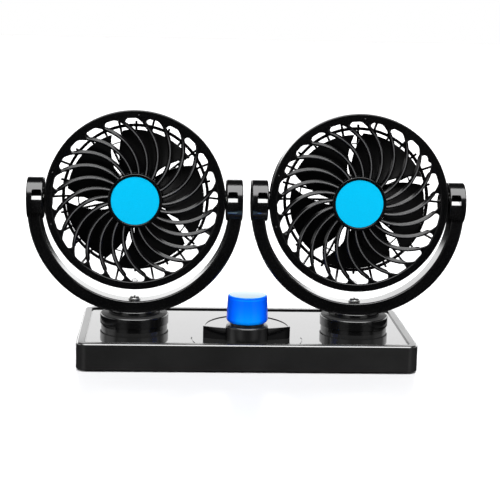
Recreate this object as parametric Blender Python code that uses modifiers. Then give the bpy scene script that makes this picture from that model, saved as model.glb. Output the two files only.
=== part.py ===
"""Twin-head car fan: a base with a rotary switch, two swivel pedestals, two yokes and two tilting fan heads.

Metres, +Z up, the face of the heads towards -Y. The origin is on the floor under the middle of the base.
"""
import math

import bmesh
import bpy
from mathutils import Matrix, Vector

for old in list(bpy.data.objects):
    bpy.data.objects.remove(old)

# Clearances and counts that the whole object shares
gap = 0.0003
bite = 0.0006
overrun = 0.002
merge_limit = 0.000005
big_steps = 36
round_steps = 20
small_steps = 8
corner_steps = 3
edge_steps = 3
nut_sides = 6
quarter = math.pi / 2

# Head: radii are about the fan's own axis, heights run forward from the tilt axis
head_radius = 0.0625
flange_width = 0.0055
flange_front = 0.0115
flange_thickness = 0.0022
flange_chamfer = 0.0009
skirt_wall = 0.0018
skirt_depth = 0.0042
hub_bezel_radius = 0.0188
hub_bezel_wall = 0.0019
hub_proud = 0.0012
hub_edge = 0.0003
hub_depth = 0.0042
hub_plate = 0.0015
disc_thickness = 0.0012
disc_set_back = 0.0002
rib_count = 24
rib_width = 0.0015
rib_depth = 0.0030
rib_set_back = 0.0003
rib_web_radius = 0.0023
rib_stations = 5
web_steps = 2
rib_phase = math.radians(7.7)
rib_lean = math.radians(21.5)
rib_sweep = math.radians(16)
rib_sweep_power = 2

# Rear guard
rim_inset = 0.0005
rim_wall = 0.0018
rim_back = 0.0040
guard_back = 0.0104
guard_rib_depth = 0.0024
guard_rib_width = 0.0016
guard_rib_count = 28
guard_stub = 0.0030
guard_ring_radius = 0.0505
guard_ring_width = 0.0022
guard_ring_extra = 0.0003
guard_step = 0.0008
rib_end_depth = 0.0022

# Motor, its cup in the guard, and its cover
motor_radius = 0.0135
motor_length = 0.0167
motor_nose_radius = 0.0040
motor_nose = 0.0026
motor_tail = 0.0005
cup_play = 0.0006
cup_wall = 0.0015
cup_front = -0.0030
cover_thickness = 0.0015
cover_edge = 0.0005
shaft_radius = 0.00115
shaft_grip = 0.0110
motor_screw_circle = 0.0080
motor_screw_radius = 0.0011
motor_screw_head_radius = 0.0022
motor_screw_head = 0.0012
motor_screw_bite = 0.0022

# Impeller
blade_count = 5
blade_tip_radius = 0.0478
blade_front = 0.0056
blade_back = -0.0058
blade_thickness = 0.0013
blade_rows = 2
blade_columns = 5
blade_curve_power = 1.15
blade_gap = math.radians(9)
blade_lean = math.radians(-19)
blade_phase = math.radians(49)
wheel_hub_radius = 0.0195
wheel_hub_wall = 0.0015
wheel_hub_front = 0.0066
wheel_hub_back = -0.0068
wheel_hub_edge = 0.0010
wheel_boss_radius = 0.0040
wheel_boss_length = 0.0046

# Grille screws
grille_screw_count = 3
grille_screw_phase = math.radians(30)
grille_screw_radius = 0.0012
grille_screw_head_radius = 0.0021
grille_screw_head = 0.0012
grille_boss_radius = 0.0020
grille_boss_proud = 0.0006
grille_post_inset = 0.0030
grille_screw_bite = 0.0016

# Pivots between head and yoke
boss_radius = 0.0065
boss_proud = 0.0004
boss_depth = 0.0054
pin_radius = 0.0030
pin_bite = 0.0036
pin_head_radius = 0.0045
pin_head = 0.0018
cap_radius = 0.0060
cap_thickness = 0.0012
cap_edge = 0.0002
cap_steps = 12

# Yoke
yoke_band = 0.0090
yoke_depth = 0.0160
yoke_edge = 0.0010
yoke_drop = 0.0063
yoke_arc_steps = 30
ear_radius = 0.0145
ear_step = 0.0021
ear_proud = 0.0003
ear_edge = 0.0006
window_inner_wall = 0.0009
window_width = 0.0066
window_top = 0.0072
window_bottom = 0.0089
window_back = 0.0056
window_drum_radius = 0.0094
window_drum_out = 0.0022
window_drum_down = 0.0046
foot_flange_radius = 0.0180
foot_flange_height = 0.0031
foot_flange_edge = 0.0008

# Pedestals
collar_radius = 0.0232
collar_height = 0.0030
drum_radius = 0.0240
drum_height = 0.0069
drum_edge = 0.0015
drum_wall = 0.0024
drum_post_radius = 0.0065
bolt_radius = 0.0030
bolt_head_radius = 0.0042
bolt_head = 0.0020
bolt_tail = 0.0016
nut_radius = 0.0062
nut_height = 0.0030

# Base
fan_gap = 0.0062
base_side = 0.0138
base_depth = 0.1190
corner_radius = 0.0080
foot_height = 0.0013
housing_height = 0.0180
housing_wall = 0.0020
rim_width = 0.0055
rim_round = 0.0030
rim_round_steps = 4
recess_depth = 0.0014
recess_corner = 0.0040
swivel_inset = 0.0580
plate_thickness = 0.0024
foot_length = 0.0300
foot_depth = 0.0180
foot_corner = 0.0040
foot_seat = 0.0010
foot_side_inset = 0.0045
foot_front_inset = 0.0045
cover_screw_radius = 0.0013
cover_screw_head_radius = 0.0027
cover_screw_head = 0.0008
cover_screw_length = 0.0090
cover_screw_sink = 0.0012
post_radius = 0.0035
post_side_inset = 0.0530
post_end_inset = 0.0110
gland_flange_radius = 0.0052
gland_flange = 0.0009
gland_barrel_radius = 0.0034
gland_bore_radius = 0.0020
gland_boss_radius = 0.0056
gland_boss_depth = 0.0020
gland_tail = 0.0025

# Switch in the middle of the base
switch_inset = 0.0220
platform_half_width = 0.0299
platform_length = 0.0380
platform_back_of_knob = 0.0015
platform_bulge = 0.0075
platform_height = 0.0083
platform_wall = 0.0016
platform_edge = 0.0007
platform_steps = 20
platform_front_steps = 8
peg_radius = 0.0020
peg_side = 0.0210
peg_back = 0.0140
peg_length = 0.0050
bezel_radius = 0.0143
bezel_height = 0.0088
bezel_edge = 0.0018
bezel_boss_radius = 0.0115
bezel_boss_height = 0.0032
bezel_roof = 0.0020
bezel_cavity_radius = 0.0095
knob_height = 0.0193
knob_radius = 0.0142
knob_top_radius = 0.0133
knob_foot_round = 0.0030
knob_top_edge = 0.0007
knob_dome = 0.0004
knob_crown_share = 0.6
knob_crown_drop = 0.00013
knob_wall = 0.0022
knob_post_radius = 0.0055
knob_socket = 0.0120
knob_shaft_radius = 0.0030
knob_shaft_foot = 0.0060
bush_radius = 0.0045
bush_height = 0.0063
switch_length = 0.0220
switch_width = 0.0200
switch_height = 0.0098
switch_edge = 0.0010
switch_nut_radius = 0.0066
switch_nut_height = 0.0024
line_radius = 0.0365
line_depth = 0.0004
line_angle = math.radians(14)
line_start = math.radians(10)
line_steps = 6

# Places that follow from the sizes, from the floor up
base_bottom_z = foot_height
rim_top_z = base_bottom_z + housing_height
floor_z = rim_top_z - recess_depth
ceiling_z = floor_z - housing_wall
plate_top_z = base_bottom_z + plate_thickness
front_y = -base_depth / 2
rear_y = base_depth / 2
swivel_y = front_y + swivel_inset
switch_y = front_y + switch_inset
seat_z = floor_z + gap
collar_top_z = seat_z + collar_height
drum_bottom_z = collar_top_z + gap
drum_top_z = drum_bottom_z + drum_height

boss_face_x = head_radius + boss_proud
ear_inner_x = boss_face_x + gap
yoke_inner_radius = ear_inner_x + ear_step
yoke_outer_radius = yoke_inner_radius + yoke_band
ear_outer_x = yoke_outer_radius + ear_proud
cap_seat_x = ear_outer_x - cap_thickness - gap
head_seat_x = cap_seat_x - gap - pin_head - gap
yoke_bottom_z = drum_top_z + gap
pivot_z = yoke_bottom_z + yoke_outer_radius + yoke_drop
fan_x = ear_outer_x + fan_gap / 2
base_width = 2 * (fan_x + drum_radius + base_side)

rim_outer = head_radius - rim_inset
rim_inner = rim_outer - rim_wall
flange_inner = head_radius - flange_width
skirt_back = flange_front - skirt_depth
rim_front = skirt_back - gap
hub_front = flange_front + hub_proud
disc_radius = hub_bezel_radius - hub_bezel_wall - gap
disc_front = hub_front - disc_set_back
plate_front = disc_front - disc_thickness - gap
plate_back = plate_front - hub_plate
cup_inner = motor_radius + cup_play
cup_outer = cup_inner + cup_wall
cup_floor = cup_front - cup_wall
motor_front = cup_floor - gap
motor_back = motor_front - motor_length
cup_back = motor_back + gap
cover_front = cup_back - gap
cover_floor = motor_back - motor_tail - gap
cover_back = cover_floor - cover_thickness
guard_front = guard_rib_depth - guard_back
rib_end_front = rib_end_depth - rim_back + guard_step
rib_end_back = guard_step - rim_back
grille_screw_circle = head_radius - grille_post_inset
grille_boss_back = -rim_back - grille_boss_proud

# Collections, one for the parts and one for what cuts or joins them
parts = bpy.data.collections.new("car_fan")
tools = bpy.data.collections.new("car_fan_cutters")
bpy.context.scene.collection.children.link(parts)
bpy.context.scene.collection.children.link(tools)


def finish(name, colour, roughness, metallic=0.0):
    """One plain Principled material."""
    material = bpy.data.materials.new(name)
    material.use_nodes = True
    shader = material.node_tree.nodes["Principled BSDF"]
    shader.inputs["Base Color"].default_value = (*colour, 1.0)
    shader.inputs["Roughness"].default_value = roughness
    shader.inputs["Metallic"].default_value = metallic
    return material


satin_black = finish("satin_black", (0.012, 0.012, 0.013), 0.35)
gloss_black = finish("gloss_black", (0.008, 0.008, 0.009), 0.12)
knob_blue = finish("knob_blue", (0.0, 0.16, 1.0), 0.15)
disc_blue = finish("disc_blue", (0.0, 0.60, 1.0), 0.35)
rubber_black = finish("rubber_black", (0.02, 0.02, 0.02), 0.8)
bright_steel = finish("bright_steel", (0.62, 0.62, 0.60), 0.3, 1.0)
motor_steel = finish("motor_steel", (0.45, 0.45, 0.44), 0.4, 1.0)


def place_object(name, data, material=None, frame=None, at=(0, 0, 0), turn=(0, 0, 0)):
    """Links a part, or a cutter when it has no material."""
    thing = bpy.data.objects.new(name, data)
    thing.parent = frame
    thing.location = at
    thing.rotation_euler = turn
    if material:
        data.materials.append(material)
        parts.objects.link(thing)
    else:
        tools.objects.link(thing)
        thing.hide_render = True
        thing.display_type = "WIRE"
    return thing


def empty_at(name, at, turn=(0, 0, 0)):
    """An empty that stands on a joint's axis."""
    frame = bpy.data.objects.new(name, None)
    frame.location = at
    frame.rotation_euler = turn
    parts.objects.link(frame)
    return frame


def turned(name, profile, steps, loop=False, **where):
    """A profile of (radius, height) points, top to bottom on its outer side, turned about Z."""
    mesh = bpy.data.meshes.new(name)
    points = [(radius, 0, height) for radius, height in profile]
    edges = [(index, index + 1) for index in range(len(points) - 1)]
    if loop:
        edges.append((len(points) - 1, 0))
    mesh.from_pydata(points, edges, [])
    thing = place_object(name, mesh, **where)
    screw = thing.modifiers.new("turn", "SCREW")
    screw.steps = steps
    screw.render_steps = steps
    screw.use_merge_vertices = True
    screw.merge_threshold = merge_limit
    return thing


def rod(name, radius, low, high, steps, **where):
    """A plain round bar along Z."""
    return turned(name, [(0, high), (radius, high), (radius, low), (0, low)], steps, **where)


def tube(name, radius, bore, low, high, steps, **where):
    """A plain ring along Z."""
    profile = [(bore, high), (radius, high), (radius, low), (bore, low)]
    return turned(name, profile, steps, loop=True, **where)


def screw_fastener(name, radius, length, top_radius, top, steps, **where):
    """A headed screw whose shank runs up from the head's top face at zero."""
    profile = [(0, length), (radius, length), (radius, 0)]
    profile += [(top_radius, 0), (top_radius, -top), (0, -top)]
    return turned(name, profile, steps, **where)


def arc(centre_radius, centre_height, radius, start, end, steps):
    """Points of a rounded edge in a profile, both ends included."""
    points = []
    for index in range(steps + 1):
        angle = start + (end - start) * index / steps
        points.append((centre_radius + radius * math.cos(angle), centre_height + radius * math.sin(angle)))
    return points


def round_edges(mesh, chosen, radius, steps):
    """Rounds the edges of a mesh that a test picks."""
    work = bmesh.new()
    work.from_mesh(mesh)
    edges = [edge for edge in work.edges if chosen(edge)]
    bmesh.ops.bevel(work, geom=edges, offset=radius, segments=steps, profile=0.5, affect="EDGES")
    work.to_mesh(mesh)
    work.free()


def upright(edge):
    """True for an edge along Z."""
    run = edge.verts[0].co - edge.verts[1].co
    return abs(run.z) > run.xy.length


def around(level):
    """A test for the sharp edges that lie at one height of a mesh."""
    def chosen(edge):
        on_level = all(abs(vertex.co.z - level) < merge_limit for vertex in edge.verts)
        return on_level and edge.is_manifold and edge.calc_face_angle() > quarter / 2
    return chosen


def block(name, size, low_z, corner=0.0, top_edge=0.0, top_steps=1, at=(0, 0), **where):
    """A box with rounded upright corners and, if asked, a rounded top edge."""
    work = bmesh.new()
    bmesh.ops.create_cube(work, size=1)
    bmesh.ops.scale(work, vec=size, verts=work.verts)
    mesh = bpy.data.meshes.new(name)
    work.to_mesh(mesh)
    work.free()
    if corner:
        round_edges(mesh, upright, corner, corner_steps)
    if top_edge:
        round_edges(mesh, around(size[2] / 2), top_edge, top_steps)
    return place_object(name, mesh, at=(at[0], at[1], low_z + size[2] / 2), **where)


def curve_mesh(name, points, closed, **settings):
    """The closed mesh that a curve through some points gives with its thickness."""
    curve = bpy.data.curves.new(name, "CURVE")
    for setting, value in settings.items():
        setattr(curve, setting, value)
    spline = curve.splines.new("POLY")
    spline.points.add(len(points) - 1)
    for point, (across, along) in zip(spline.points, points):
        point.co = (across, along, 0, 1)
    spline.use_cyclic_u = closed
    guide = bpy.data.objects.new(name, curve)
    tools.objects.link(guide)
    graph = bpy.context.evaluated_depsgraph_get()
    mesh = bpy.data.meshes.new_from_object(guide.evaluated_get(graph))
    bpy.data.objects.remove(guide)
    work = bmesh.new()
    work.from_mesh(mesh)
    bmesh.ops.remove_doubles(work, verts=work.verts, dist=merge_limit)
    bmesh.ops.recalc_face_normals(work, faces=work.faces)
    work.to_mesh(mesh)
    work.free()
    return mesh


def prism_mesh(name, outline, thickness, edge=0.0):
    """A flat outline filled and given a thickness about its plane."""
    return curve_mesh(name, outline, True, dimensions="2D", fill_mode="BOTH", extrude=thickness / 2 - edge,
                      bevel_depth=edge, offset=-edge, bevel_resolution=0)


def repeat_around(mesh, count, phase=0.0):
    """Copies of one mesh around Z, kept in one mesh."""
    work = bmesh.new()
    for index in range(count):
        known = len(work.verts)
        work.from_mesh(mesh)
        work.verts.ensure_lookup_table()
        turn = Matrix.Rotation(phase + 2 * math.pi * index / count, 3, "Z")
        bmesh.ops.rotate(work, cent=(0, 0, 0), matrix=turn, verts=work.verts[known:])
    ring = bpy.data.meshes.new(mesh.name + "_ring")
    work.to_mesh(ring)
    work.free()
    return ring


def merged(name, shapes):
    """Shapes that don't touch each other, as one cutter."""
    graph = bpy.context.evaluated_depsgraph_get()
    work = bmesh.new()
    for shape in shapes:
        ready = shape.evaluated_get(graph)
        mesh = bpy.data.meshes.new_from_object(ready)
        mesh.transform(ready.matrix_world)
        work.from_mesh(mesh)
    for shape in shapes:
        bpy.data.objects.remove(shape)
    mesh = bpy.data.meshes.new(name)
    work.to_mesh(mesh)
    work.free()
    return place_object(name, mesh)


def boolean(target, title, shapes, operation):
    """One live Boolean on a part, with one shape or with several that don't touch each other."""
    tool = shapes[0] if len(shapes) == 1 else merged(f"{target.name}_{title}", shapes)
    step = target.modifiers.new(title, "BOOLEAN")
    step.operation = operation
    step.object = tool


def cut(target, title, shapes):
    boolean(target, title, shapes, "DIFFERENCE")


def join(target, title, shapes):
    boolean(target, title, shapes, "UNION")


def nut(name, radius, bore_radius, low, high, at, frame=None):
    """A hexagon nut with a round bore."""
    body = rod(name, radius, low, high, nut_sides, at=at, frame=frame, material=bright_steel)
    bore = rod(f"cut_{name}_bore", bore_radius, low - overrun, high + overrun, small_steps, at=at,
               frame=frame)
    cut(body, "bore", [bore])


def smooth(thing):
    """Smooth shading with the hard edges kept."""
    thing.data.shade_smooth()
    thing.data.set_sharp_from_angle(angle=quarter / 3)


# Base housing: a tray turned upside down, with a sunk floor on top, screw posts and a boss for the gland
housing = block("base_housing", (base_width, base_depth, housing_height), base_bottom_z, corner_radius,
                rim_round, rim_round_steps, material=satin_black)
recess_width = base_width - 2 * rim_width
recess_length = base_depth - 2 * rim_width
recess = block("cut_recess", (recess_width, recess_length, recess_depth + overrun), floor_z, recess_corner)
inner_width = base_width - 2 * housing_wall
inner_depth = base_depth - 2 * housing_wall
hollow = block("cut_hollow", (inner_width, inner_depth, ceiling_z - base_bottom_z + overrun),
               base_bottom_z - overrun, corner_radius - housing_wall)
cut(housing, "recess", [recess])
cut(housing, "hollow", [hollow])

post_x = base_width / 2 - post_side_inset
post_y = base_depth / 2 - post_end_inset
post_low_z = plate_top_z + gap
post_places = [(side * post_x, end * post_y) for side in (-1, 1) for end in (-1, 1)]
housing_joins = []
for number, (x, y) in enumerate(post_places, 1):
    post = rod(f"join_post_{number}", post_radius, post_low_z, ceiling_z + bite, small_steps, at=(x, y, 0))
    housing_joins.append(post)
screw_seat_z = base_bottom_z + cover_screw_sink
pilot_top_z = screw_seat_z - gap + cover_screw_length + gap
housing_cuts = []
for number, (x, y) in enumerate(post_places, 1):
    pilot = rod(f"cut_pilot_{number}", cover_screw_radius + gap, post_low_z - overrun, pilot_top_z,
                small_steps, at=(x, y, 0))
    housing_cuts.append(pilot)

gland_z = (plate_top_z + ceiling_z) / 2
gland_at = (0, rear_y, gland_z)
gland_turn = (-quarter, 0, 0)
gland_sink = gland_flange + gap
gland_inner = -housing_wall - gland_boss_depth
gland_boss = rod("join_gland_boss", gland_boss_radius, gland_inner, -housing_wall + bite, small_steps,
                 at=gland_at, turn=gland_turn)
housing_joins.append(gland_boss)
gland_seat = gland_flange_radius + gap
gland_way = gland_barrel_radius + gap
gland_profile = [(0, overrun), (gland_seat, overrun), (gland_seat, -gland_sink), (gland_way, -gland_sink),
                 (gland_way, gland_inner - overrun), (0, gland_inner - overrun)]
gland_hole = turned("cut_gland_hole", gland_profile, small_steps, at=gland_at, turn=gland_turn)
housing_cuts.append(gland_hole)

for side, name in ((-1, "left"), (1, "right")):
    bolt_hole = rod(f"cut_{name}_bolt_hole", bolt_radius + gap, ceiling_z - overrun, floor_z + overrun,
                    small_steps, at=(side * fan_x, swivel_y, 0))
    housing_cuts.append(bolt_hole)
bush_hole = rod("cut_bush_hole", bush_radius + gap, ceiling_z - overrun, floor_z + overrun, small_steps,
                at=(0, switch_y, 0))
housing_cuts.append(bush_hole)
for side, name in ((-1, "left"), (1, "right")):
    peg_hole = rod(f"cut_{name}_peg_hole", peg_radius + gap, ceiling_z - overrun, floor_z + overrun,
                   small_steps, at=(side * peg_side, switch_y + peg_back, 0))
    housing_cuts.append(peg_hole)

# Two short panel lines in the floor, beside the platform's front corners
for side, name in ((-1, "left"), (1, "right")):
    track = []
    for index in range(line_steps):
        angle = line_start + line_angle * index / (line_steps - 1)
        track.append((side * line_radius * math.cos(angle), -line_radius * math.sin(angle)))
    line_mesh = curve_mesh(f"cut_{name}_line", track, False, dimensions="3D", bevel_depth=line_depth,
                           bevel_resolution=1, use_fill_caps=True)
    line = place_object(f"cut_{name}_line", line_mesh, at=(0, switch_y, floor_z))
    housing_cuts.append(line)
join(housing, "posts", housing_joins)
cut(housing, "holes", housing_cuts)

# Bottom plate: closes the base, carries the feet in pockets and the heads of its screws in sunk seats
plate = block("bottom_plate", (inner_width - 2 * gap, inner_depth - 2 * gap, plate_thickness), base_bottom_z,
              corner_radius - housing_wall - gap, material=satin_black)
foot_x = base_width / 2 - foot_side_inset - foot_length / 2
foot_y = base_depth / 2 - foot_front_inset - foot_depth / 2
plate_cuts = []
foot_places = {"front_left": (-foot_x, -foot_y), "front_right": (foot_x, -foot_y),
               "rear_left": (-foot_x, foot_y), "rear_right": (foot_x, foot_y)}
for name, place in foot_places.items():
    pocket = block(f"cut_{name}_pocket", (foot_length + 2 * gap, foot_depth + 2 * gap, foot_seat + overrun),
                   base_bottom_z - overrun, foot_corner + gap, at=place)
    plate_cuts.append(pocket)
    block(f"foot_{name}", (foot_length, foot_depth, foot_height + foot_seat - gap), 0, foot_corner,
          at=place, material=rubber_black)
for number, (x, y) in enumerate(post_places, 1):
    hole_profile = [(0, plate_top_z + overrun), (cover_screw_radius + gap, plate_top_z + overrun),
                    (cover_screw_radius + gap, screw_seat_z), (cover_screw_head_radius + gap, screw_seat_z),
                    (cover_screw_head_radius + gap, base_bottom_z - overrun), (0, base_bottom_z - overrun)]
    plate_cuts.append(turned(f"cut_screw_hole_{number}", hole_profile, small_steps, at=(x, y, 0)))
    screw_fastener(f"cover_screw_{number}", cover_screw_radius, cover_screw_length, cover_screw_head_radius,
                   cover_screw_head, small_steps, at=(x, y, screw_seat_z - gap), material=bright_steel)
cut(plate, "pockets", plate_cuts)

# Cable gland: a flanged bush, flush with the rear wall
gland_end = gland_inner - gland_tail
gland_section = [(gland_bore_radius, 0), (gland_flange_radius, 0), (gland_flange_radius, -gland_flange),
                 (gland_barrel_radius, -gland_flange), (gland_barrel_radius, gland_end),
                 (gland_bore_radius, gland_end)]
turned("cable_gland", gland_section, small_steps, loop=True, at=gland_at, turn=gland_turn,
       material=rubber_black)


def platform_outline(inset):
    """Half an ellipse behind, and a shallow bow in front, drawn in by an inset."""
    width = platform_half_width - inset
    points = []
    for index in range(platform_steps + 1):
        angle = math.pi * index / platform_steps
        points.append((width * math.cos(angle), inset + (platform_length - 2 * inset) * math.sin(angle)))
    for index in range(1, platform_front_steps):
        x = -width + 2 * width * index / platform_front_steps
        points.append((x, inset - platform_bulge * (1 - (x / width) ** 2)))
    return points


# Switch platform: a horseshoe-shaped step, hollow below, held by two pegs and open round the bezel
platform_z = seat_z + platform_height
platform_at = (0, switch_y + platform_back_of_knob, (seat_z + platform_z) / 2)
platform_mesh = prism_mesh("switch_platform", platform_outline(0), platform_height)
round_edges(platform_mesh, around(platform_height / 2), platform_edge, edge_steps)
platform = place_object("switch_platform", platform_mesh, gloss_black, at=platform_at)
platform_hollow_height = platform_height - platform_wall + overrun
platform_hollow = place_object(
    "cut_platform_hollow",
    prism_mesh("cut_platform_hollow", platform_outline(platform_wall), platform_hollow_height),
    at=(platform_at[0], platform_at[1], seat_z - overrun + platform_hollow_height / 2))
cut(platform, "hollow", [platform_hollow])
pegs = []
for side, name in ((-1, "left"), (1, "right")):
    peg = rod(f"join_{name}_peg", peg_radius, floor_z - peg_length, platform_z - platform_wall + bite,
              small_steps, at=(side * peg_side, switch_y + peg_back, 0))
    pegs.append(peg)
join(platform, "pegs", pegs)
bezel_hole = rod("cut_bezel_hole", bezel_radius + gap, seat_z - overrun, platform_z + overrun, round_steps,
                 at=(0, switch_y, 0))
cut(platform, "opening", [bezel_hole])

# Switch bezel: the collar on the floor round the switch's nut, with a smaller neck under the knob
bezel_top_z = seat_z + bezel_height
neck_top_z = bezel_top_z + bezel_boss_height
bezel_bore = knob_shaft_radius + gap
bezel_roof_z = neck_top_z - bezel_roof
bezel_profile = [(bezel_bore, neck_top_z), (bezel_boss_radius, neck_top_z), (bezel_boss_radius, bezel_top_z)]
bezel_profile += arc(bezel_radius - bezel_edge, bezel_top_z - bezel_edge, bezel_edge, quarter, 0, edge_steps)
bezel_profile += [(bezel_radius, seat_z), (bezel_cavity_radius, seat_z), (bezel_cavity_radius, bezel_roof_z),
                  (bezel_bore, bezel_roof_z)]
turned("switch_bezel", bezel_profile, round_steps, loop=True, at=(0, switch_y, 0), material=gloss_black)

# Rotary switch: body with its threaded bush, nut and shaft
switch_top_z = ceiling_z - gap
switch_low_z = switch_top_z - switch_height
switch = block("switch_body", (switch_length, switch_width, switch_height), switch_low_z, switch_edge,
               at=(0, switch_y), material=satin_black)
bush_top_z = floor_z + bush_height
bush = rod("join_bush", bush_radius, switch_top_z - bite, bush_top_z, small_steps, at=(0, switch_y, 0))
join(switch, "bush", [bush])
shaft_low_z = switch_top_z - knob_shaft_foot
shaft_bore = rod("cut_shaft_bore", knob_shaft_radius + gap, shaft_low_z - gap, bush_top_z + overrun,
                 small_steps, at=(0, switch_y, 0))
cut(switch, "bore", [shaft_bore])
nut("switch_nut", switch_nut_radius, bush_radius + gap, seat_z, seat_z + switch_nut_height, (0, switch_y, 0))

# Knob: a hollow cup with a socket that sits on the shaft
knob_frame = empty_at("knob_axis", (0, switch_y, 0))
knob_low_z = neck_top_z + gap
knob_top_z = knob_low_z + knob_height
knob_side_z = knob_low_z + knob_foot_round
socket_top_z = knob_low_z + gap + knob_socket
knob_profile = [(0, knob_top_z), (knob_top_radius * knob_crown_share, knob_top_z - knob_crown_drop),
                (knob_top_radius - knob_top_edge, knob_top_z - knob_dome),
                (knob_top_radius, knob_top_z - knob_dome - knob_top_edge)]
knob_profile += arc(knob_radius - knob_foot_round, knob_side_z, knob_foot_round, 0, -quarter, edge_steps + 1)
knob_inner = knob_radius - knob_wall - knob_foot_round / 2
knob_roof_z = knob_top_z - knob_wall
knob_profile += [(knob_inner, knob_low_z), (knob_inner, knob_roof_z), (knob_post_radius, knob_roof_z),
                 (knob_post_radius, knob_low_z + gap), (knob_shaft_radius + gap, knob_low_z + gap),
                 (knob_shaft_radius + gap, socket_top_z), (0, socket_top_z)]
turned("knob", knob_profile, round_steps, frame=knob_frame, material=knob_blue)
rod("knob_shaft", knob_shaft_radius, shaft_low_z, socket_top_z - gap, small_steps, frame=knob_frame,
    material=bright_steel)


rib_start = hub_bezel_radius - hub_bezel_wall / 2
rib_end = flange_inner + flange_width / 4


def rib_angle(radius):
    """How far round the fan's axis a rib has swept at a radius."""
    share = (radius - rib_start) / (rib_end - rib_start)
    return rib_lean * share + rib_sweep * share ** rib_sweep_power


def rib_slope(radius):
    """The tangent of a rib's angle to the radius that it crosses."""
    share = (radius - rib_start) / (rib_end - rib_start)
    swing = rib_lean + rib_sweep * rib_sweep_power * share ** (rib_sweep_power - 1)
    return radius * swing / (rib_end - rib_start)


def grille_outline():
    """One spiral rib in plan. A web rounds the narrow corner between its trailing side and the flange."""
    web_centre = flange_inner - rib_web_radius
    web_slope = rib_slope(web_centre)
    web_stretch = math.hypot(1, web_slope)
    web_touch = web_centre - rib_web_radius * web_slope / web_stretch
    web_angle = rib_angle(web_centre) - (rib_width / 2 + rib_web_radius) * web_stretch / web_centre
    radii = []
    for index in range(rib_stations):
        radii.append(rib_start + (web_touch - rib_start) * index / (rib_stations - 1))
    for step in range(web_steps + 1):
        radii.append(web_centre + rib_web_radius * math.sin(quarter * step / web_steps))
    radii.append(rib_end)
    left = []
    right = []
    for radius in radii:
        half = rib_width / 2 * math.hypot(1, rib_slope(radius)) / radius
        leading = rib_angle(radius) + half
        trailing = rib_angle(radius) - half
        if radius > web_touch:
            height = min(radius - web_centre, rib_web_radius)
            trailing = web_angle + math.sqrt(rib_web_radius ** 2 - height ** 2) / radius
        left.append((radius * math.cos(leading), radius * math.sin(leading)))
        right.append((radius * math.cos(trailing), radius * math.sin(trailing)))
    return left + right[::-1]


def spiral_ribs():
    """All ribs of a grille in one mesh, rising a little towards the hub."""
    one = prism_mesh("spiral_rib", grille_outline(), rib_depth)
    for vertex in one.vertices:
        radius = vertex.co.xy.length
        share = (radius - hub_bezel_radius) / (flange_inner - hub_bezel_radius)
        vertex.co.z += flange_front - rib_set_back - rib_depth / 2 + hub_proud / 2 * (1 - share)
    return repeat_around(one, rib_count, rib_phase)


def long_guard_rib():
    """One rib of the rear guard that steps forward to the rim: an outline in its own radial plane."""
    inner = cup_outer - cup_wall / 2
    outer = rim_inner + rim_wall / 2
    outline = [(inner, -guard_back), (guard_ring_radius, -guard_back), (outer, rib_end_back),
               (outer, rib_end_front), (guard_ring_radius, guard_front), (inner, guard_front)]
    mesh = prism_mesh("long_guard_rib", outline, guard_rib_width)
    mesh.transform(Matrix.Rotation(quarter, 4, "X"))
    return mesh


def stub_guard_rib():
    """One rib of the rear guard that ends just past the ring."""
    inner = cup_outer - cup_wall / 2
    outer = guard_ring_radius + guard_stub
    work = bmesh.new()
    bmesh.ops.create_cube(work, size=1)
    bmesh.ops.scale(work, vec=(outer - inner, guard_rib_width, guard_rib_depth), verts=work.verts)
    bmesh.ops.translate(work, vec=((outer + inner) / 2, 0, (guard_front - guard_back) / 2), verts=work.verts)
    mesh = bpy.data.meshes.new("stub_guard_rib")
    work.to_mesh(mesh)
    work.free()
    return mesh


def blade_sheet():
    """One blade as an open sheet between the hub and the tip, leaning back as it goes out."""
    root = wheel_hub_radius - wheel_hub_wall / 2
    span = 2 * math.pi / blade_count - blade_gap
    work = bmesh.new()
    bmesh.ops.create_grid(work, x_segments=blade_columns, y_segments=blade_rows, size=1)
    for vertex in work.verts:
        across = (vertex.co.x + 1) / 2
        out = (vertex.co.y + 1) / 2
        radius = root + (blade_tip_radius - root) * out
        angle = span * across + blade_lean * out
        height = blade_back + (blade_front - blade_back) * (1 - across) ** blade_curve_power
        vertex.co = (radius * math.cos(angle), radius * math.sin(angle), height)
    mesh = bpy.data.meshes.new("blade_sheet")
    work.to_mesh(mesh)
    work.free()
    return mesh


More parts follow.
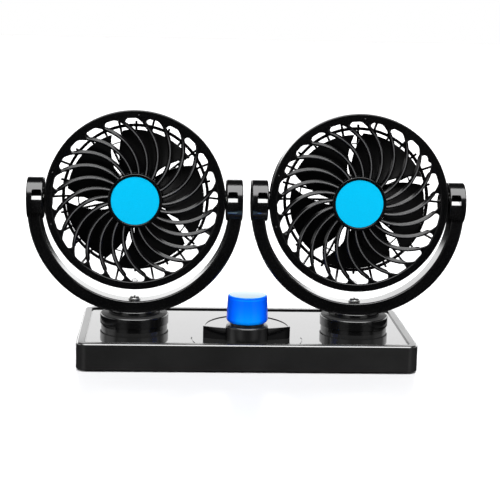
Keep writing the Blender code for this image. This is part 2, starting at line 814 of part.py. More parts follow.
def add_yoke(name, side):
    """The yoke with its ears, foot and bores, and what fastens it to the base."""
    frame = empty_at(f"{name}_swivel_axis", (side * fan_x, swivel_y, pivot_z))
    outline = [(yoke_outer_radius, 0)]
    outline += arc(0, -yoke_drop, yoke_outer_radius, 0, -math.pi, yoke_arc_steps)
    outline += [(-yoke_outer_radius, 0), (-yoke_inner_radius, 0)]
    outline += arc(0, -yoke_drop, yoke_inner_radius, -math.pi, 0, yoke_arc_steps)
    outline.append((yoke_inner_radius, 0))
    band = prism_mesh(f"{name}_yoke", outline, yoke_depth, yoke_edge)
    band.transform(Matrix.Rotation(quarter, 4, "X"))
    yoke = place_object(f"{name}_yoke", band, satin_black, frame)
    below = yoke_bottom_z - pivot_z
    flange_top = below + foot_flange_height
    flange_profile = [(0, flange_top), (foot_flange_radius - foot_flange_edge, flange_top),
                      (foot_flange_radius, flange_top - foot_flange_edge), (foot_flange_radius, below),
                      (0, below)]
    flange = turned(f"join_{name}_foot", flange_profile, round_steps, frame=frame)
    yoke_joins = [flange]
    yoke_cuts = []
    for way, where in ((-1, "left"), (1, "right")):
        turn = (0, way * quarter, 0)
        ear_profile = [(0, ear_outer_x), (ear_radius - ear_edge, ear_outer_x),
                       (ear_radius, ear_outer_x - ear_edge), (ear_radius, ear_inner_x + ear_edge),
                       (ear_radius - ear_edge, ear_inner_x), (0, ear_inner_x)]
        ear = turned(f"join_{name}_{where}_ear", ear_profile, round_steps, frame=frame, turn=turn)
        yoke_joins.append(ear)
        window_x = ear_inner_x + window_inner_wall + window_width / 2
        window_height = window_top + window_bottom
        window_reach = ear_radius + overrun - window_back
        window = block(f"cut_{name}_{where}_window", (window_width, window_reach, window_height),
                       -window_bottom, at=(way * window_x, -window_back - window_reach / 2), frame=frame)
        window_drum = rod(f"cut_{name}_{where}_window_drum", window_drum_radius,
                          window_x - window_width, window_x + window_width, round_steps, frame=frame,
                          at=(0, -window_drum_out, -window_drum_down), turn=turn)
        cut(window, "drum", [window_drum])
        bore_profile = [(0, ear_outer_x + overrun), (cap_radius + gap, ear_outer_x + overrun),
                        (cap_radius + gap, cap_seat_x), (pin_head_radius + gap, cap_seat_x),
                        (pin_head_radius + gap, head_seat_x), (pin_radius + gap, head_seat_x),
                        (pin_radius + gap, ear_inner_x - overrun), (0, ear_inner_x - overrun)]
        bore = turned(f"cut_{name}_{where}_bore", bore_profile, cap_steps, frame=frame, turn=turn)
        yoke_cuts += [window, bore]
        cap_back = cap_seat_x + gap
        cap_profile = [(0, ear_outer_x), (cap_radius - cap_edge, ear_outer_x),
                       (cap_radius, ear_outer_x - cap_edge), (cap_radius, cap_back), (0, cap_back)]
        turned(f"{name}_fan_{where}_cap", cap_profile, cap_steps, frame=frame, turn=turn,
               material=gloss_black)
    sag = yoke_inner_radius - math.sqrt(yoke_inner_radius ** 2 - bolt_head_radius ** 2)
    bolt_hole = rod(f"cut_{name}_yoke_bolt_hole", bolt_radius + gap, below - overrun,
                    below + yoke_band + sag + overrun, small_steps, frame=frame)
    yoke_cuts.append(bolt_hole)
    join(yoke, "ears_and_foot", yoke_joins)
    cut(yoke, "windows_and_bores", yoke_cuts)
    smooth(yoke)

    drum_profile = [(bolt_radius + gap, drum_top_z)]
    drum_profile += arc(drum_radius - drum_edge, drum_top_z - drum_edge, drum_edge, quarter, 0, edge_steps)
    drum_roof_z = drum_top_z - drum_wall
    drum_profile += [(drum_radius, drum_bottom_z), (drum_radius - drum_wall, drum_bottom_z),
                     (drum_radius - drum_wall, drum_roof_z), (drum_post_radius, drum_roof_z),
                     (drum_post_radius, drum_bottom_z), (bolt_radius + gap, drum_bottom_z)]
    at_axis = (0, 0, -pivot_z)
    turned(f"{name}_swivel_drum", drum_profile, round_steps, loop=True, frame=frame, at=at_axis,
           material=satin_black)
    bolt_seat_z = yoke_bottom_z + yoke_band + sag + gap
    bolt_low_z = ceiling_z - gap - nut_height - bolt_tail
    bolt_length = bolt_seat_z - bolt_low_z
    screw_fastener(f"{name}_swivel_bolt", bolt_radius, bolt_length, bolt_head_radius, bolt_head, small_steps,
                   frame=frame, at=(0, 0, bolt_seat_z - pivot_z), turn=(2 * quarter, 0, 0),
                   material=bright_steel)
    nut(f"{name}_swivel_nut", nut_radius, bolt_radius + gap, ceiling_z - gap - nut_height, ceiling_z - gap,
        at_axis, frame)
    tube(f"{name}_pedestal_collar", collar_radius, bolt_radius + gap, seat_z, collar_top_z, round_steps,
         at=(side * fan_x, swivel_y, 0), material=satin_black)


def add_grille(name, frame):
    """Front grille: flange with a short skirt, hub with the disc's seat, spiral ribs and screw posts."""
    edge = flange_chamfer
    flange_back = flange_front - flange_thickness
    flange_profile = [(flange_inner, flange_front), (head_radius - edge, flange_front),
                      (head_radius, flange_front - edge), (head_radius, skirt_back),
                      (head_radius - skirt_wall, skirt_back), (head_radius - skirt_wall, flange_back),
                      (flange_inner, flange_back)]
    grille = turned(f"{name}_front_grille", flange_profile, big_steps, loop=True, frame=frame,
                    material=gloss_black)
    ribs = place_object(f"join_{name}_ribs", spiral_ribs(), frame=frame)
    join(grille, "ribs", [ribs])
    posts = []
    pilots = []
    bezel_inner = hub_bezel_radius - hub_bezel_wall
    hub_back = hub_front - hub_depth
    hub_profile = [(0, plate_front), (bezel_inner, plate_front), (bezel_inner, hub_front),
                   (hub_bezel_radius - hub_edge, hub_front), (hub_bezel_radius, hub_front - hub_edge),
                   (hub_bezel_radius, hub_back), (bezel_inner, hub_back), (bezel_inner, plate_back),
                   (0, plate_back)]
    hub = turned(f"join_{name}_hub", hub_profile, round_steps, frame=frame)
    join(grille, "hub", [hub])
    for number in range(1, grille_screw_count + 1):
        angle = grille_screw_phase + 2 * math.pi * number / grille_screw_count
        at = (grille_screw_circle * math.cos(angle), grille_screw_circle * math.sin(angle), 0)
        post = rod(f"join_{name}_grille_post_{number}", grille_boss_radius, skirt_back + gap,
                   flange_back + bite, small_steps, frame=frame, at=at)
        posts.append(post)
        pilot = rod(f"cut_{name}_grille_pilot_{number}", grille_screw_radius + gap, skirt_back - overrun,
                    skirt_back + grille_screw_bite + gap, small_steps, frame=frame, at=at)
        pilots.append(pilot)
    join(grille, "posts", posts)
    cut(grille, "pilots", pilots)
    disc_back = disc_front - disc_thickness
    disc_profile = [(0, disc_front), (disc_radius - hub_edge, disc_front),
                    (disc_radius, disc_front - hub_edge), (disc_radius, disc_back), (0, disc_back)]
    turned(f"{name}_hub_disc", disc_profile, round_steps, frame=frame, material=disc_blue)


def add_guard(name, frame):
    """Rear guard: the rim with its pivot bosses, the ribs and ring behind the impeller, the motor's cup."""
    guard = tube(f"{name}_rear_guard", rim_outer, rim_inner, -rim_back, rim_front, big_steps, frame=frame,
                 material=satin_black)
    half = guard_rib_count // 2
    long_ribs = place_object(f"join_{name}_long_ribs", repeat_around(long_guard_rib(), half), frame=frame)
    stub_ribs = place_object(f"join_{name}_stub_ribs", repeat_around(stub_guard_rib(), half, math.pi / half),
                             frame=frame)
    cup_profile = [(motor_nose_radius + gap, cup_front), (cup_outer, cup_front), (cup_outer, cup_back),
                   (cup_inner, cup_back), (cup_inner, cup_floor), (motor_nose_radius + gap, cup_floor)]
    cup = turned(f"join_{name}_cup", cup_profile, round_steps, loop=True, frame=frame)
    ring = tube(f"join_{name}_ring", guard_ring_radius + guard_ring_width / 2,
                guard_ring_radius - guard_ring_width / 2, -guard_back - guard_ring_extra,
                guard_front + guard_ring_extra, guard_rib_count, frame=frame)
    join(guard, "long_ribs", [long_ribs])
    join(guard, "stub_ribs", [stub_ribs])
    join(guard, "cup", [cup])
    join(guard, "ring", [ring])
    bosses = []
    holes = []
    for way, where in ((-1, "left"), (1, "right")):
        turn = (0, way * quarter, 0)
        boss = rod(f"join_{name}_{where}_boss", boss_radius, boss_face_x - boss_depth, boss_face_x,
                   small_steps, frame=frame, turn=turn)
        bosses.append(boss)
        bore = rod(f"cut_{name}_{where}_boss_bore", pin_radius + gap, boss_face_x - pin_bite - gap - gap,
                   boss_face_x + overrun, small_steps, frame=frame, turn=turn)
        holes.append(bore)
        pin_end_x = boss_face_x - pin_bite - gap
        pin_profile = [(0, head_seat_x + gap + pin_head), (pin_head_radius, head_seat_x + gap + pin_head),
                       (pin_head_radius, head_seat_x + gap), (pin_radius, head_seat_x + gap),
                       (pin_radius, pin_end_x), (0, pin_end_x)]
        turned(f"{name}_fan_{where}_pin", pin_profile, small_steps, frame=frame, turn=turn,
               material=bright_steel)
    for number in range(1, grille_screw_count + 1):
        angle = grille_screw_phase + 2 * math.pi * number / grille_screw_count
        at = (grille_screw_circle * math.cos(angle), grille_screw_circle * math.sin(angle), 0)
        boss = rod(f"join_{name}_grille_boss_{number}", grille_boss_radius, grille_boss_back,
                   rim_front - gap, small_steps, frame=frame, at=at)
        bosses.append(boss)
        hole = rod(f"cut_{name}_grille_hole_{number}", grille_screw_radius + gap,
                   grille_boss_back - overrun, rim_front + overrun, small_steps, frame=frame, at=at)
        holes.append(hole)
        screw_seat = grille_boss_back - gap
        length = skirt_back + grille_screw_bite - screw_seat
        screw_fastener(f"{name}_grille_screw_{number}", grille_screw_radius, length,
                       grille_screw_head_radius, grille_screw_head, small_steps, frame=frame,
                       at=(at[0], at[1], screw_seat), material=bright_steel)
    for number, way in enumerate((-1, 1), 1):
        hole = rod(f"cut_{name}_motor_hole_{number}", motor_screw_radius + gap, cup_floor - overrun,
                   cup_front + overrun, small_steps, frame=frame, at=(way * motor_screw_circle, 0, 0))
        holes.append(hole)
    join(guard, "bosses", bosses)
    cut(guard, "holes", holes)
    smooth(guard)


def add_motor(name, frame):
    """Motor in its cup, its two screws and the cover behind it."""
    nose_front = motor_front + motor_nose
    bore_end = nose_front - shaft_grip - gap
    motor_profile = [(0, bore_end), (shaft_radius + gap, bore_end), (shaft_radius + gap, nose_front),
                     (motor_nose_radius, nose_front), (motor_nose_radius, motor_front),
                     (motor_radius, motor_front), (motor_radius, motor_back),
                     (motor_nose_radius, motor_back), (motor_nose_radius, motor_back - motor_tail),
                     (0, motor_back - motor_tail)]
    motor = turned(f"{name}_motor", motor_profile, round_steps, frame=frame, material=motor_steel)
    threads = []
    screw_seat = cup_front + gap
    screw_end = motor_front - motor_screw_bite
    for number, way in enumerate((-1, 1), 1):
        at = (way * motor_screw_circle, 0, 0)
        hole = rod(f"cut_{name}_motor_thread_{number}", motor_screw_radius + gap, screw_end - gap,
                   motor_front + overrun, small_steps, frame=frame, at=at)
        threads.append(hole)
        screw_fastener(f"{name}_motor_screw_{number}", motor_screw_radius, screw_seat - screw_end,
                       motor_screw_head_radius, motor_screw_head, small_steps, frame=frame,
                       at=(at[0], 0, screw_seat), turn=(2 * quarter, 0, 0), material=bright_steel)
    cut(motor, "threads", threads)
    cover_profile = [(0, cover_floor), (cup_inner, cover_floor), (cup_inner, cover_front),
                     (cup_outer, cover_front), (cup_outer, cover_back + cover_edge),
                     (cup_outer - cover_edge, cover_back), (0, cover_back)]
    turned(f"{name}_motor_cover", cover_profile, round_steps, frame=frame, material=satin_black)


def add_wheel(name, frame):
    """Impeller: a hub cup over the motor's nose with five blades, on the motor's shaft."""
    roof = wheel_hub_front - wheel_hub_wall
    boss_end = roof - wheel_boss_length
    inner = wheel_hub_radius - wheel_hub_wall
    bore = shaft_radius + gap
    bore_end = roof + gap
    hub_profile = [(0, wheel_hub_front), (wheel_hub_radius - wheel_hub_edge, wheel_hub_front),
                   (wheel_hub_radius, wheel_hub_front - wheel_hub_edge), (wheel_hub_radius, wheel_hub_back),
                   (inner, wheel_hub_back), (inner, roof), (wheel_boss_radius, roof),
                   (wheel_boss_radius, boss_end), (bore, boss_end), (bore, bore_end), (0, bore_end)]
    wheel = turned(f"{name}_impeller", hub_profile, round_steps, frame=frame, material=gloss_black)
    blades = place_object(f"join_{name}_blades", repeat_around(blade_sheet(), blade_count, blade_phase),
                          frame=frame)
    shell = blades.modifiers.new("thickness", "SOLIDIFY")
    shell.thickness = blade_thickness
    shell.offset = 0
    join(wheel, "blades", [blades])
    smooth(wheel)
    shaft_end = motor_front + motor_nose - shaft_grip
    rod(f"{name}_motor_shaft", shaft_radius, shaft_end, bore_end - gap, small_steps, frame=frame,
        material=bright_steel)


for fan_side, fan_name in ((-1, "left"), (1, "right")):
    add_yoke(fan_name, fan_side)
    tilt_frame = empty_at(f"{fan_name}_tilt_axis", (fan_side * fan_x, swivel_y, pivot_z), (quarter, 0, 0))
    add_grille(fan_name, tilt_frame)
    add_guard(fan_name, tilt_frame)
    add_motor(fan_name, tilt_frame)
    add_wheel(fan_name, tilt_frame)
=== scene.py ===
"""Looks of the twin-head car fan: every moulding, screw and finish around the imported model."""
import math

import bmesh
import bpy
from mathutils import Matrix, Quaternion, Vector


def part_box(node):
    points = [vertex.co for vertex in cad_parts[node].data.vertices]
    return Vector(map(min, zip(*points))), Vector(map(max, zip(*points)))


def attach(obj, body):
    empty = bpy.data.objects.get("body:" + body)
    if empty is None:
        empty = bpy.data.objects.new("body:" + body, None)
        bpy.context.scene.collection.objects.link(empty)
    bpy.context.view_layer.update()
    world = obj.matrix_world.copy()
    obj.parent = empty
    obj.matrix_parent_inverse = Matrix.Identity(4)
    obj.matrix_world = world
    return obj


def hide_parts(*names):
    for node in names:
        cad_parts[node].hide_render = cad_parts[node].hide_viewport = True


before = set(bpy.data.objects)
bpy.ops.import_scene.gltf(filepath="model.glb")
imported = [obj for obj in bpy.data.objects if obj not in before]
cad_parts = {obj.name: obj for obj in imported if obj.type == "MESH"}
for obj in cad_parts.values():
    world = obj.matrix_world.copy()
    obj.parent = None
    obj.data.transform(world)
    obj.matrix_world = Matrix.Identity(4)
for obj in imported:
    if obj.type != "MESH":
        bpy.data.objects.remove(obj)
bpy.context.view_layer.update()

# Camera: a long lens a little above the base, as the photograph was taken.
# Its place comes from the edges of the base, the two rings and the knob in the picture.
aim = Vector((0, -0.0015, 0.0913))
camera_distance = 1.04132
camera_height_angle = math.radians(9.17)
camera_side_angle = math.radians(-3.05)
camera_roll = math.radians(1.23)
focal_pixels = 1485.58
picture_pixels = 500
picture_shift_x = 3.69
picture_shift_y = -24.58
camera_data = bpy.data.cameras.new("camera")
camera = bpy.data.objects.new("camera", camera_data)
bpy.context.scene.collection.objects.link(camera)
camera_data.lens = focal_pixels * camera_data.sensor_width / picture_pixels
camera_data.shift_x = picture_shift_x / picture_pixels
camera_data.shift_y = picture_shift_y / picture_pixels
camera_back = Vector((math.sin(camera_side_angle) * math.cos(camera_height_angle),
                      -math.cos(camera_side_angle) * math.cos(camera_height_angle),
                      math.sin(camera_height_angle)))
camera.location = aim + camera_back * camera_distance
level_turn = camera_back.to_track_quat("Z", "Y")
camera.rotation_euler = (level_turn @ Quaternion((0, 0, 1), camera_roll)).to_euler()
bpy.context.scene.camera = camera
bpy.context.scene.view_settings.view_transform = "Standard"


class Signal:
    """The output of a shader node. Sums and products of signals add the nodes that work them out."""

    def __init__(self, tree, socket):
        self.tree = tree
        self.socket = socket

    def node(self, kind, settings, sockets, output=0):
        """Adds a node of any kind, its settings first and then its sockets' values or links."""
        made = self.tree.nodes.new(kind)
        for name, value in settings.items():
            if name == "stops":
                ramp = made.color_ramp
                while len(ramp.elements) < len(value):
                    ramp.elements.new(1.0)
                for element, (place, colour) in zip(ramp.elements, value):
                    element.position = place
                    element.color = (*colour, 1.0)
            else:
                setattr(made, name, value)
        for name, value in sockets.items():
            if isinstance(value, Signal):
                self.tree.links.new(value.socket, made.inputs[name])
            else:
                made.inputs[name].default_value = value
        return Signal(self.tree, made.outputs[output])

    def math(self, operation, first, second=0.0):
        return self.node("ShaderNodeMath", {"operation": operation}, {0: first, 1: second})

    def __add__(self, other):
        return self.math("ADD", self, other)

    __radd__ = __add__

    def __sub__(self, other):
        return self.math("SUBTRACT", self, other)

    def __rsub__(self, other):
        return self.math("SUBTRACT", other, self)

    def __mul__(self, other):
        return self.math("MULTIPLY", self, other)

    __rmul__ = __mul__

    def __truediv__(self, other):
        return self.math("DIVIDE", self, other)

    def __pow__(self, other):
        return self.math("POWER", self, other)

    def __lt__(self, other):
        return self.math("LESS_THAN", self, other)

    def __gt__(self, other):
        return self.math("GREATER_THAN", self, other)

    def size(self):
        """The value without its sign."""
        return self.math("ABSOLUTE", self)

    def part(self, axis):
        """One of the three numbers of a place."""
        return self.node("ShaderNodeSeparateXYZ", {}, {"Vector": self}, "XYZ".index(axis))

    def rising(self, low, high):
        """Zero below one value and one above another, with a smooth way between."""
        settings = {"interpolation_type": "SMOOTHSTEP"}
        return self.node("ShaderNodeMapRange", settings, {"Value": self, "From Min": low, "From Max": high})

    def noise(self, scale, detail=2.0):
        return self.node("ShaderNodeTexNoise", {}, {"Vector": self, "Scale": scale, "Detail": detail})

    def grain(self, depth, height):
        """A normal that leans with a height given as a number from zero to one."""
        return self.node("ShaderNodeBump", {}, {"Strength": 1.0, "Distance": depth, "Height": height})

    def colours(self, *stops):
        """A colour for each value from zero to one."""
        return self.node("ShaderNodeValToRGB", {"stops": stops}, {"Fac": self})


# Floor and light: a pale table top in a white studio, lit by a wide soft box high on the camera's side,
# a white wall behind, a strip at each side and two cards low beside the camera. The rest is nearly dark.
floor_size = 12.0
floor_colour = (0.72, 0.72, 0.73, 1.0)
floor_roughness = 0.25


def start_finish(name, **values):
    """A Principled material with its fixed values, its shader and the place on the piece."""
    material = bpy.data.materials.new(name)
    material.use_nodes = True
    shader = material.node_tree.nodes["Principled BSDF"]
    for socket, value in values.items():
        shader.inputs[socket.replace("_", " ")].default_value = value
    place = Signal(material.node_tree, material.node_tree.nodes.new("ShaderNodeTexCoord").outputs["Object"])
    return material, shader, place


bpy.ops.mesh.primitive_plane_add(size=floor_size)
studio_floor = bpy.context.object
studio_floor.name = "studio_floor"
floor_material = start_finish("studio_floor", Base_Color=floor_colour, Roughness=floor_roughness)[0]
studio_floor.data.materials.append(floor_material)
studio_floor.visible_glossy = False

table_edge = (-0.01, 0.03)
wall_side = (0.30, 0.60)
wall_top = (0.40, 0.50)
box_rise = math.radians(65)
box_side = (0.855, 0.875)
box_end = (0.50, 0.60)
strip_edge = (0.86, 0.95)
card_inner = (0.35, 0.45)
card_outer = (0.75, 0.85)
card_front = (-0.30, 0.00)
card_top = (0.25, 0.35)
wall_light = 2.4
soft_box_light = 5.2
left_light = 1.4
right_light = 0.6
card_light = 0.45
dark_side = 0.012
world = bpy.data.worlds.new("studio")
world.use_nodes = True
bpy.context.scene.world = world
backdrop = world.node_tree.nodes["Background"]
direction = Signal(world.node_tree, world.node_tree.nodes.new("ShaderNodeTexCoord").outputs["Generated"])
seen = Signal(world.node_tree, world.node_tree.nodes.new("ShaderNodeLightPath").outputs["Is Camera Ray"])
sky_x, sky_y, sky_z = (direction.part(axis) for axis in "XYZ")
above_table = sky_z.rising(*table_edge)
back_wall = sky_y.rising(*wall_side) * above_table * (1 - sky_z.rising(*wall_top))
towards_box = sky_z * math.sin(box_rise) - sky_y * math.cos(box_rise)
profile_length = (1 - sky_x * sky_x) ** 0.5
soft_box = (towards_box / profile_length).rising(*box_side) * (1 - sky_x.size().rising(*box_end))
left_strip = (0 - sky_x).rising(*strip_edge) * above_table
right_strip = sky_x.rising(*strip_edge) * above_table
side_cards = sky_x.size().rising(*card_inner) * (1 - sky_x.size().rising(*card_outer))
side_cards = side_cards * (1 - sky_y.rising(*card_front)) * (1 - sky_z.size().rising(*card_top))
lit = wall_light * back_wall + soft_box_light * soft_box + card_light * side_cards
lit = lit + left_light * left_strip + right_light * right_strip
level = seen + (1 - seen) * (dark_side + lit)
world.node_tree.links.new(level.socket, backdrop.inputs["Strength"])
backdrop.inputs["Color"].default_value = (1, 1, 1, 1)


# Base housing: one moulding of black ABS, a shallow tray turned over, with a satin rim whose round edge
# is buffed, and a polished floor sunk inside a fine moat. It carries all the rest.
base_low, base_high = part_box("base_housing")
base_corner = 0.0080
rim_width = 0.0055
rim_round = 0.0014
recess_depth = 0.0010
moat_width = 0.0008
moat_depth = 0.0002
moat_edge = moat_width / 6
housing_wall = 0.0020
housing_cavity = 0.0120
small_edge = 0.0004
tiny = 0.000001
quarter = math.pi / 2
gland_steps = 48
panel_line_radius = 0.0378
panel_line_depth = 0.0004
panel_line_start = math.radians(-8)
panel_line_end = math.radians(24)


def alone():
    """Selects nothing, so that the next operator acts on the new piece alone."""
    if bpy.context.object and bpy.context.object.mode == "EDIT":
        bpy.ops.object.mode_set(mode="OBJECT")
    bpy.ops.object.select_all(action="DESELECT")


def only(piece):
    """Selects one piece alone and makes it active."""
    alone()
    piece.select_set(True)
    bpy.context.view_layer.objects.active = piece


def settle():
    """Moves the active object's place, turn and size into its mesh."""
    bpy.ops.object.transform_apply(location=True, rotation=True, scale=True)


def put(piece, at, turn=(0, 0, 0)):
    """Turns and moves a piece, and keeps its place in its mesh."""
    only(piece)
    piece.location = at
    piece.rotation_euler = turn
    settle()


def cube(size, middle):
    """A box at its size and place, ready for edit mode."""
    alone()
    bpy.ops.mesh.primitive_cube_add(size=1, location=middle)
    bpy.context.object.scale = size
    settle()
    return bpy.context.object


def cylinder(radius, depth, middle, steps, turn=(0, 0, 0)):
    """A cylinder along Z, or turned, at its place and ready for edit mode."""
    alone()
    bpy.ops.mesh.primitive_cylinder_add(vertices=steps, radius=radius, depth=depth,
                                        location=middle, rotation=turn)
    settle()
    return bpy.context.object


def pick(kind, test):
    """In edit mode, selects the faces, edges or corners that pass a test."""
    bpy.ops.object.mode_set(mode="EDIT")
    bpy.ops.mesh.select_mode(type=kind)
    bpy.ops.mesh.select_all(action="DESELECT")
    mesh = bpy.context.object.data
    shape = bmesh.from_edit_mesh(mesh)
    for item in {"VERT": shape.verts, "EDGE": shape.edges, "FACE": shape.faces}[kind]:
        item.select_set(bool(test(item)))
    shape.select_flush_mode()
    bmesh.update_edit_mesh(mesh)


def pick_level(height):
    """Selects the faces that lie flat at a height."""
    pick("FACE", lambda face: all(abs(corner.co.z - height) < tiny for corner in face.verts))


def is_upright(edge):
    """Whether an edge runs up more than along."""
    run = edge.verts[0].co - edge.verts[1].co
    return abs(run.z) > run.xy.length


def edit(operator, **settings):
    """One edit-mode operator on what is selected."""
    bpy.ops.object.mode_set(mode="EDIT")
    operator(**settings)


def edit_all(operator, **settings):
    """One edit-mode operator on the whole of the active piece."""
    edit(bpy.ops.mesh.select_all, action="SELECT")
    operator(**settings)


def round_where(test, width, segments):
    """Rounds the edges whose ends both pass a test."""
    pick("EDGE", lambda edge: all(test(end.co) for end in edge.verts))
    edit(bpy.ops.mesh.bevel, offset=width, segments=segments, affect="EDGES")


def draw_out(*way):
    """Extrudes the selected faces by a step."""
    edit(bpy.ops.mesh.extrude_region_move, TRANSFORM_OT_translate={"value": way})


def step_in(rim, rise):
    """Leaves a rim round the selected faces and moves them up, or down with a rise below zero."""
    edit(bpy.ops.mesh.inset, thickness=rim, depth=0)
    draw_out(0, 0, rise)


def soften(width, segments=3, angle=35):
    """Rounds the edges of the active piece that turn by more than an angle in degrees."""
    pick("EDGE", lambda edge: False)
    bpy.ops.mesh.edges_select_sharp(sharpness=math.radians(angle))
    bpy.ops.mesh.bevel(offset=width, segments=segments, affect="EDGES", clamp_overlap=True)
    bpy.ops.object.mode_set(mode="OBJECT")


def modified(piece, kind, **settings):
    """Gives a piece a modifier with its settings, and applies it."""
    only(piece)
    bpy.ops.object.modifier_add(type=kind)
    step = piece.modifiers[-1]
    for name, value in settings.items():
        setattr(step, name, value)
    bpy.ops.object.modifier_apply(modifier=step.name)


def carve(piece, tool, operation="DIFFERENCE"):
    """Cuts a tool out of a piece, or joins it to it, and deletes the tool."""
    modified(piece, "BOOLEAN", operation=operation, object=tool)
    bpy.data.objects.remove(tool)


def smooth(piece, angle=32):
    """Smooth shading with the sharp edges kept, and with wide faces flat right up to their rounded edges."""
    only(piece)
    bpy.ops.object.shade_smooth_by_angle(angle=math.radians(angle))
    modified(piece, "WEIGHTED_NORMAL", keep_sharp=True)


def fit(piece, name, finish, slot, body, *nodes):
    """Gives a piece its name, finish and body, and hides the nodes that it stands for."""
    smooth(piece)
    piece.name = name
    piece.data.name = name
    piece.data.materials.clear()
    piece.data.materials.append(finish)
    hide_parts(*nodes)
    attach(piece, body)


def feed(shader, **signals):
    """Feeds sockets of a shader from signals."""
    for socket, signal in signals.items():
        signal.tree.links.new(signal.socket, shader.inputs[socket.replace("_", " ")])


housing = cube(base_high - base_low, (base_low + base_high) / 2)
pick("EDGE", is_upright)
edit(bpy.ops.mesh.bevel, offset=base_corner, segments=14, affect="EDGES")
round_where(lambda at: at.z > base_high.z - tiny, rim_round, segments=7)
pick_level(base_high.z)
step_in(rim_width - rim_round, -recess_depth - moat_depth)
step_in(moat_width, moat_depth)
pick_level(base_low.z)
step_in(housing_wall, housing_cavity)
soften(moat_edge, segments=2)
knob_low, knob_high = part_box("knob")
knob_middle = (knob_low + knob_high) / 2
alone()
bpy.ops.mesh.primitive_torus_add(major_radius=panel_line_radius, minor_radius=panel_line_depth,
                                 major_segments=180, minor_segments=10)
grooves = bpy.context.object
pick("VERT", lambda corner: not panel_line_start <= math.atan2(-corner.co.y, abs(corner.co.x))
     <= panel_line_end)
edit(bpy.ops.mesh.delete, type="VERT")
edit_all(bpy.ops.mesh.fill_holes, sides=0)
edit_all(bpy.ops.mesh.normals_make_consistent, inside=False)
put(grooves, (knob_middle.x, knob_middle.y, base_high.z - recess_depth))
carve(housing, grooves)
gland_low, gland_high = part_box("cable_gland")
gland_middle = (gland_low + gland_high) / 2
gland_flange_radius = (gland_high.z - gland_low.z) / 2
carve(housing, cylinder(gland_flange_radius + small_edge, 4 * housing_wall,
                        (gland_middle.x, base_high.y, gland_middle.z), gland_steps, (quarter, 0, 0)))
shine_start = (0.00, 0.30)
shine_end = (0.94, 0.98)
housing_material, housing_shader, place = start_finish("satin_and_polished_abs",
                                                       Coat_Roughness=0.04, Coat_IOR=2.2)
drift = place.noise(30.0, 3.0)
fine = place.noise(2600.0)
rise = place.part("Z")
rim_line = base_high - Vector((rim_width, rim_width, rim_round))
inside = 1 - place.part("X").size().rising(rim_line.x, rim_line.x + small_edge)
inside = inside * (1 - place.part("Y").size().rising(rim_line.y, rim_line.y + small_edge))
sunk = 1 - rise.rising(base_high.z - recess_depth + small_edge, base_high.z - small_edge)
polished = sunk * inside
up_the_round = (rise - rim_line.z) / rim_round
buffed = up_the_round.rising(*shine_start) * (1 - up_the_round.rising(*shine_end))
polished_gloss = 0.04 + 0.04 * drift
satin_gloss = 0.26 + 0.06 * drift
feed(housing_shader, Base_Color=drift.colours((0.3, (0.009, 0.009, 0.009)), (0.7, (0.013, 0.013, 0.013))),
     Roughness=polished * polished_gloss + (1 - polished) * satin_gloss,
     Coat_Weight=buffed * (1 - inside), Normal=fine.grain(0.000012, fine * (1 - polished)))
fit(housing, "housing_moulding", housing_material, "satin_black", "base", "base_housing")


# Bottom plate: a flat black ABS moulding that closes the housing from below.
# Its face is duller and coarser than the housing's, because it doesn't show in use.
flow_scale = 38.0
flow_detail = 3.0
dark_at = 0.35
light_at = 0.70


def dress(finish, *nodes):
    """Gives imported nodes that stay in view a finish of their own."""
    for node in nodes:
        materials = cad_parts[node].data.materials
        materials.clear()
        materials.append(finish)


def uneven(gloss, drift, fine):
    """A gloss that drifts over a moulding and follows its grain."""
    return gloss * (0.80 + 0.30 * drift + 0.10 * fine)


def moulded_finish(name, dark, light, gloss, grain, depth, **values):
    """Moulded plastic: a spark-eroded grain, a slow drift of gloss and faint flow marks in its colour."""
    material, shader, place = start_finish(name, **values)
    drift = place.noise(flow_scale, flow_detail)
    fine = place.noise(grain)
    feed(shader, Base_Color=drift.colours((dark_at, dark), (light_at, light)),
         Roughness=uneven(gloss, drift, fine), Normal=fine.grain(depth, fine))
    return material, shader, place


def moulded(*values, **settings):
    """The material of moulded plastic alone."""
    return moulded_finish(*values, **settings)[0]


plate_black = moulded("plate_abs", (0.007, 0.007, 0.008), (0.010, 0.010, 0.011),
                      gloss=0.42, grain=1800.0, depth=0.00003)
dress(plate_black, "bottom_plate")

# Feet: four moulded rubber pads pressed into pockets of the plate.
# Each has round corners and a shallow cup below that grips the dashboard.
foot_corner = 0.0040
foot_cup_rim = 0.0015
foot_cup_depth = 0.0004
foot_edge = 0.0003
rubber = moulded("foot_rubber", (0.018, 0.018, 0.018), (0.030, 0.030, 0.029),
                 gloss=0.80, grain=900.0, depth=0.00004)
for place_name in ("front_left", "front_right", "rear_left", "rear_right"):
    low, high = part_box(f"foot_{place_name}")
    foot = cube(high - low, (low + high) / 2)
    pick("EDGE", is_upright)
    edit(bpy.ops.mesh.bevel, offset=foot_corner, segments=8, affect="EDGES")
    pick_level(low.z)
    step_in(foot_cup_rim, foot_cup_depth)
    soften(foot_edge, segments=2)
    fit(foot, f"foot_pad_{place_name}", rubber, "rubber_black", "base", f"foot_{place_name}")


# Cover screws: four zinc-plated pan-head screws with a cross recess.
# They go up through the plate into the posts of the housing.
cross_length = 1.25
cross_width = 0.26
tip_share = 0.4


